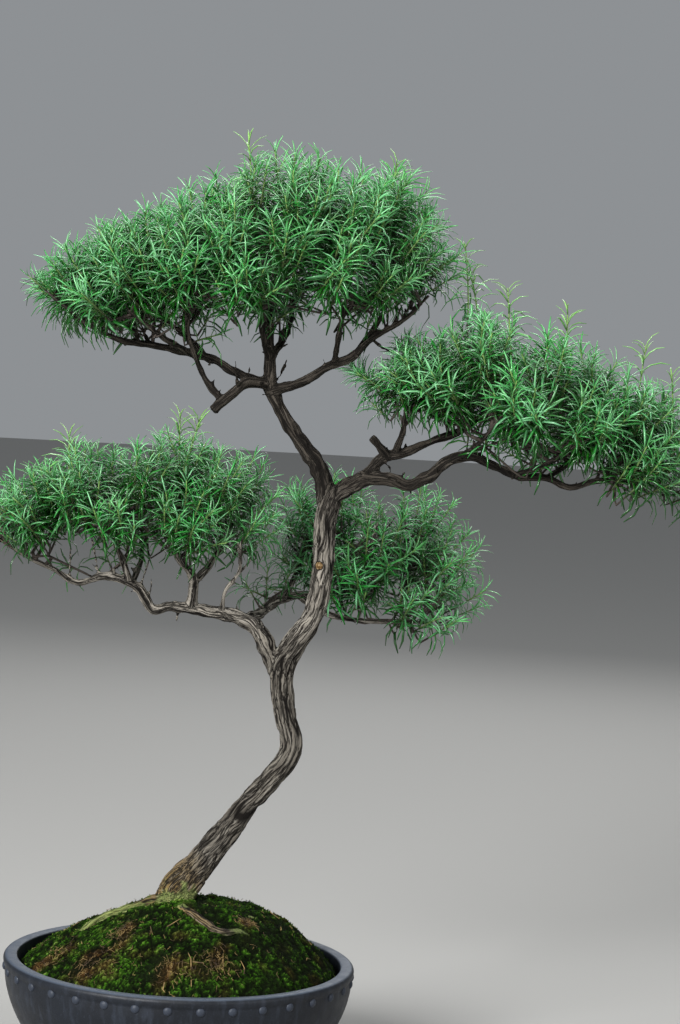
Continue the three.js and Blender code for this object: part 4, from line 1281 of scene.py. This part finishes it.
def spray_mesh(spray, draw):
    bm = bmesh.new()
    bm.verts.layers.float_vector.new("leaf")
    tone = bm.verts.layers.float_vector.new("tone")
    branch_out(bm, spray, draw)
    for heel, lean, mesh, size, painted_shade, youth in spray.shoots:
        roll = Matrix.Rotation(draw.uniform(0, 2 * math.pi), 4, "Z")
        place = Matrix.Translation(heel) @ turn_to(lean) @ roll @ Matrix.Scale(size, 4)
        for vert in add_copy(bm, mesh, place):
            # Painted shade: the shoot's place in the pad adds to each needle's shade
            vert[tone].y = clamped(painted_shade + vert[tone].y)
            vert[tone].z = youth
    return bm


class BONSAI_OT_litter(bpy.types.Operator):
    """Scatter dry needles and bits of twig over the moss"""

    bl_idname = "bonsai.litter"
    bl_label = "Litter"

    def execute(self, context):
        s = context.scene.bonsai
        draw = random.Random(SEED)
        bm = bmesh.new()
        for number in range(s.mound.litter):
            twig = number % 20 == 0
            if number % 4:
                x, y, radius = draw.choice(DRY_PATCHES)
                start = Vector((draw.gauss(x, 0.6 * radius), draw.gauss(y, 0.6 * radius), 0)) * MM
            else:
                angle = draw.uniform(0, 2 * math.pi)
                out = s.mound.radius * 0.93 * math.sqrt(draw.uniform(0.02, 1))
                start = Vector((out * math.cos(angle), out * math.sin(angle), 0))
            turn = draw.uniform(0, 2 * math.pi)
            reach = draw.uniform(1.5, 5) * MM * (2.5 if twig else 1)
            thick = draw.uniform(0.35, 0.6) if twig else draw.uniform(0.14, 0.24)
            points = []
            for share in (0, 0.5, 1):
                spot = start + reach * share * Vector((math.cos(turn), math.sin(turn), 0))
                spot += Vector((draw.gauss(0, 1), draw.gauss(0, 1), 0)) * MM
                spot = spot.normalized() * min(spot.length, s.mound.radius * 0.97)
                spot.z = mound_height(spot.x, spot.y) + draw.uniform(-1.6, 0.8) * MM
                points.append((spot, thick * (1 - 0.4 * share)))
            add_twig(bm, points, 4, material=0)
        finish_piece(bm, "dry_litter", [litter_material(s.mound)], [])
        return {"FINISHED"}


class BONSAI_OT_foliage(bpy.types.Operator):
    """Make the leafy sprays of every pad, with needles on each shoot"""

    bl_idname = "bonsai.foliage"
    bl_label = "Foliage"

    def execute(self, context):
        s = context.scene.bonsai.foliage
        draw = random.Random(SEED)
        needles = [needle_mesh(s, bend) for bend in (0.5, 0.9, 1.25, 1.6, 2.0)]
        shoots = [shoot_mesh(s, needles, draw) for _ in range(18)]
        tall = [shoot_mesh(s, needles[1:], draw, long=TALL, step=1.5, spread=76, youth=1.0,
                           woody=0.1) for _ in range(4)]
        small = [shoot_mesh(s, needles, draw, long=SMALL, step=1.3, spread=55, youth=0.2)
                 for _ in range(6)]
        materials = [needle_material(s), twig_material(s)]
        for pad_name, pad in PADS.items():
            sprays = fill_pad(pad, s, shoots, tall, small, draw)
            for number, spray in enumerate(sprays, 1):
                node = f"{pad_name}_spray_{number:02d}"
                bm = spray_mesh(spray, draw)
                finish_piece(bm, f"{node}_leafy", materials, [node])
        return {"FINISHED"}


# Stage

# Place in metres, tilt down and roll, and lens and sensor in millimetres
CAMERA_PLACE = (0.116, -2.368, 0.6505)
CAMERA_PITCH = math.radians(3.75)
CAMERA_ROLL = math.radians(3.2)
CAMERA_LENS = 98.44
SENSOR_WIDTH = 36

# Soft boxes as name, place and diameter in metres and power in watts, what they are aimed at, and
# the strength of the light all round
LIGHTS = [("key", (-1.6, -2.5, 1.7), 1.2, 176), ("fill", (2.4, -1.8, 1.2), 2.2, 30),
          ("top", (0.0, -0.1, 2.8), 1.4, 30), ("back", (0.4, 2.6, 1.8), 2.0, 22)]
LIGHT_AIM = (0.1, 0, 0.45)
SKY_STRENGTH = 0.34

# The floor's radius, and how far it lies under the pot's base, in metres
FLOOR_RADIUS = 12
FLOOR_GAP = 0.5 * MM


class BONSAI_OT_stage(bpy.types.Operator):
    """Set up the pale floor, the soft studio light and the camera"""

    bl_idname = "bonsai.stage"
    bl_label = "Stage"

    def execute(self, context):
        s = context.scene.bonsai.stage
        scene = context.scene
        bm = bmesh.new()
        bmesh.ops.create_circle(bm, cap_ends=True, radius=FLOOR_RADIUS, segments=96)
        mesh = as_mesh(bm, "floor")
        floor = bpy.data.objects.new("floor", mesh)
        floor.location.z = -FLOOR_GAP
        material, _, shader = new_material("matt_floor_paint")
        shader.inputs["Base Color"].default_value = s.floor
        shader.inputs["Roughness"].default_value = 0.9
        mesh.materials.append(material)
        scene.collection.objects.link(floor)
        self.lights(scene)
        world = bpy.data.worlds.new("studio")
        world.use_nodes = True
        background = world.node_tree.nodes["Background"]
        background.inputs["Color"].default_value = s.sky
        background.inputs["Strength"].default_value = SKY_STRENGTH
        scene.world = world
        scene.view_settings.view_transform = "Standard"
        camera = bpy.data.objects.new("camera", bpy.data.cameras.new("camera"))
        camera.data.lens = CAMERA_LENS
        camera.data.sensor_width = SENSOR_WIDTH
        camera.data.clip_end = 100
        tilt = Matrix.Rotation(math.pi / 2 - CAMERA_PITCH, 4, "X")
        roll = Matrix.Rotation(CAMERA_ROLL, 4, "Z")
        camera.matrix_world = Matrix.Translation(CAMERA_PLACE) @ tilt @ roll
        scene.collection.objects.link(camera)
        scene.camera = camera
        return {"FINISHED"}

    @staticmethod
    def lights(scene):
        """A soft box from the upper left, and fainter ones from the right, overhead and behind."""
        for name, place, size, power in LIGHTS:
            light = bpy.data.lights.new(name, "AREA")
            light.shape = "DISK"
            light.size = size
            light.energy = power
            lamp = bpy.data.objects.new(name, light)
            lamp.location = place
            aim = Vector(LIGHT_AIM) - Vector(place)
            lamp.rotation_euler = aim.to_track_quat("-Z", "Y").to_euler()
            scene.collection.objects.link(lamp)


class BONSAI_PT_panel(bpy.types.Panel):
    """Lists the steps that dress the bonsai, and their sizes and colours"""

    bl_idname = "BONSAI_PT_panel"
    bl_label = "Rosemary bonsai"
    bl_space_type = "VIEW_3D"
    bl_region_type = "UI"
    bl_category = "Bonsai"

    def draw(self, context):
        settings = context.scene.bonsai
        for step in STEPS:
            self.layout.operator(step.bl_idname)
        for group in (settings.pot, settings.mound, settings.wood, settings.foliage,
                      settings.stage):
            box = self.layout.box()
            for name in group.__annotations__:
                box.prop(group, name)


STEPS = (BONSAI_OT_pot, BONSAI_OT_soil, BONSAI_OT_moss, BONSAI_OT_litter, BONSAI_OT_wood,
         BONSAI_OT_foliage, BONSAI_OT_stage)
GROUPS = (PotSettings, MoundSettings, WoodSettings, FoliageSettings, StageSettings,
          BonsaiSettings)


def register():
    for cls in (*GROUPS, *STEPS, BONSAI_PT_panel):
        bpy.utils.register_class(cls)
    bpy.types.Scene.bonsai = PointerProperty(type=BonsaiSettings)


def unregister():
    del bpy.types.Scene.bonsai
    for cls in (BONSAI_PT_panel, *reversed(STEPS), *reversed(GROUPS)):
        bpy.utils.unregister_class(cls)


def main():
    register()
    bpy.ops.bonsai.pot()
    bpy.ops.bonsai.soil()
    bpy.ops.bonsai.moss()
    bpy.ops.bonsai.litter()
    bpy.ops.bonsai.wood()
    bpy.ops.bonsai.foliage()
    bpy.ops.bonsai.stage()


if __name__ == "__main__":
    main()
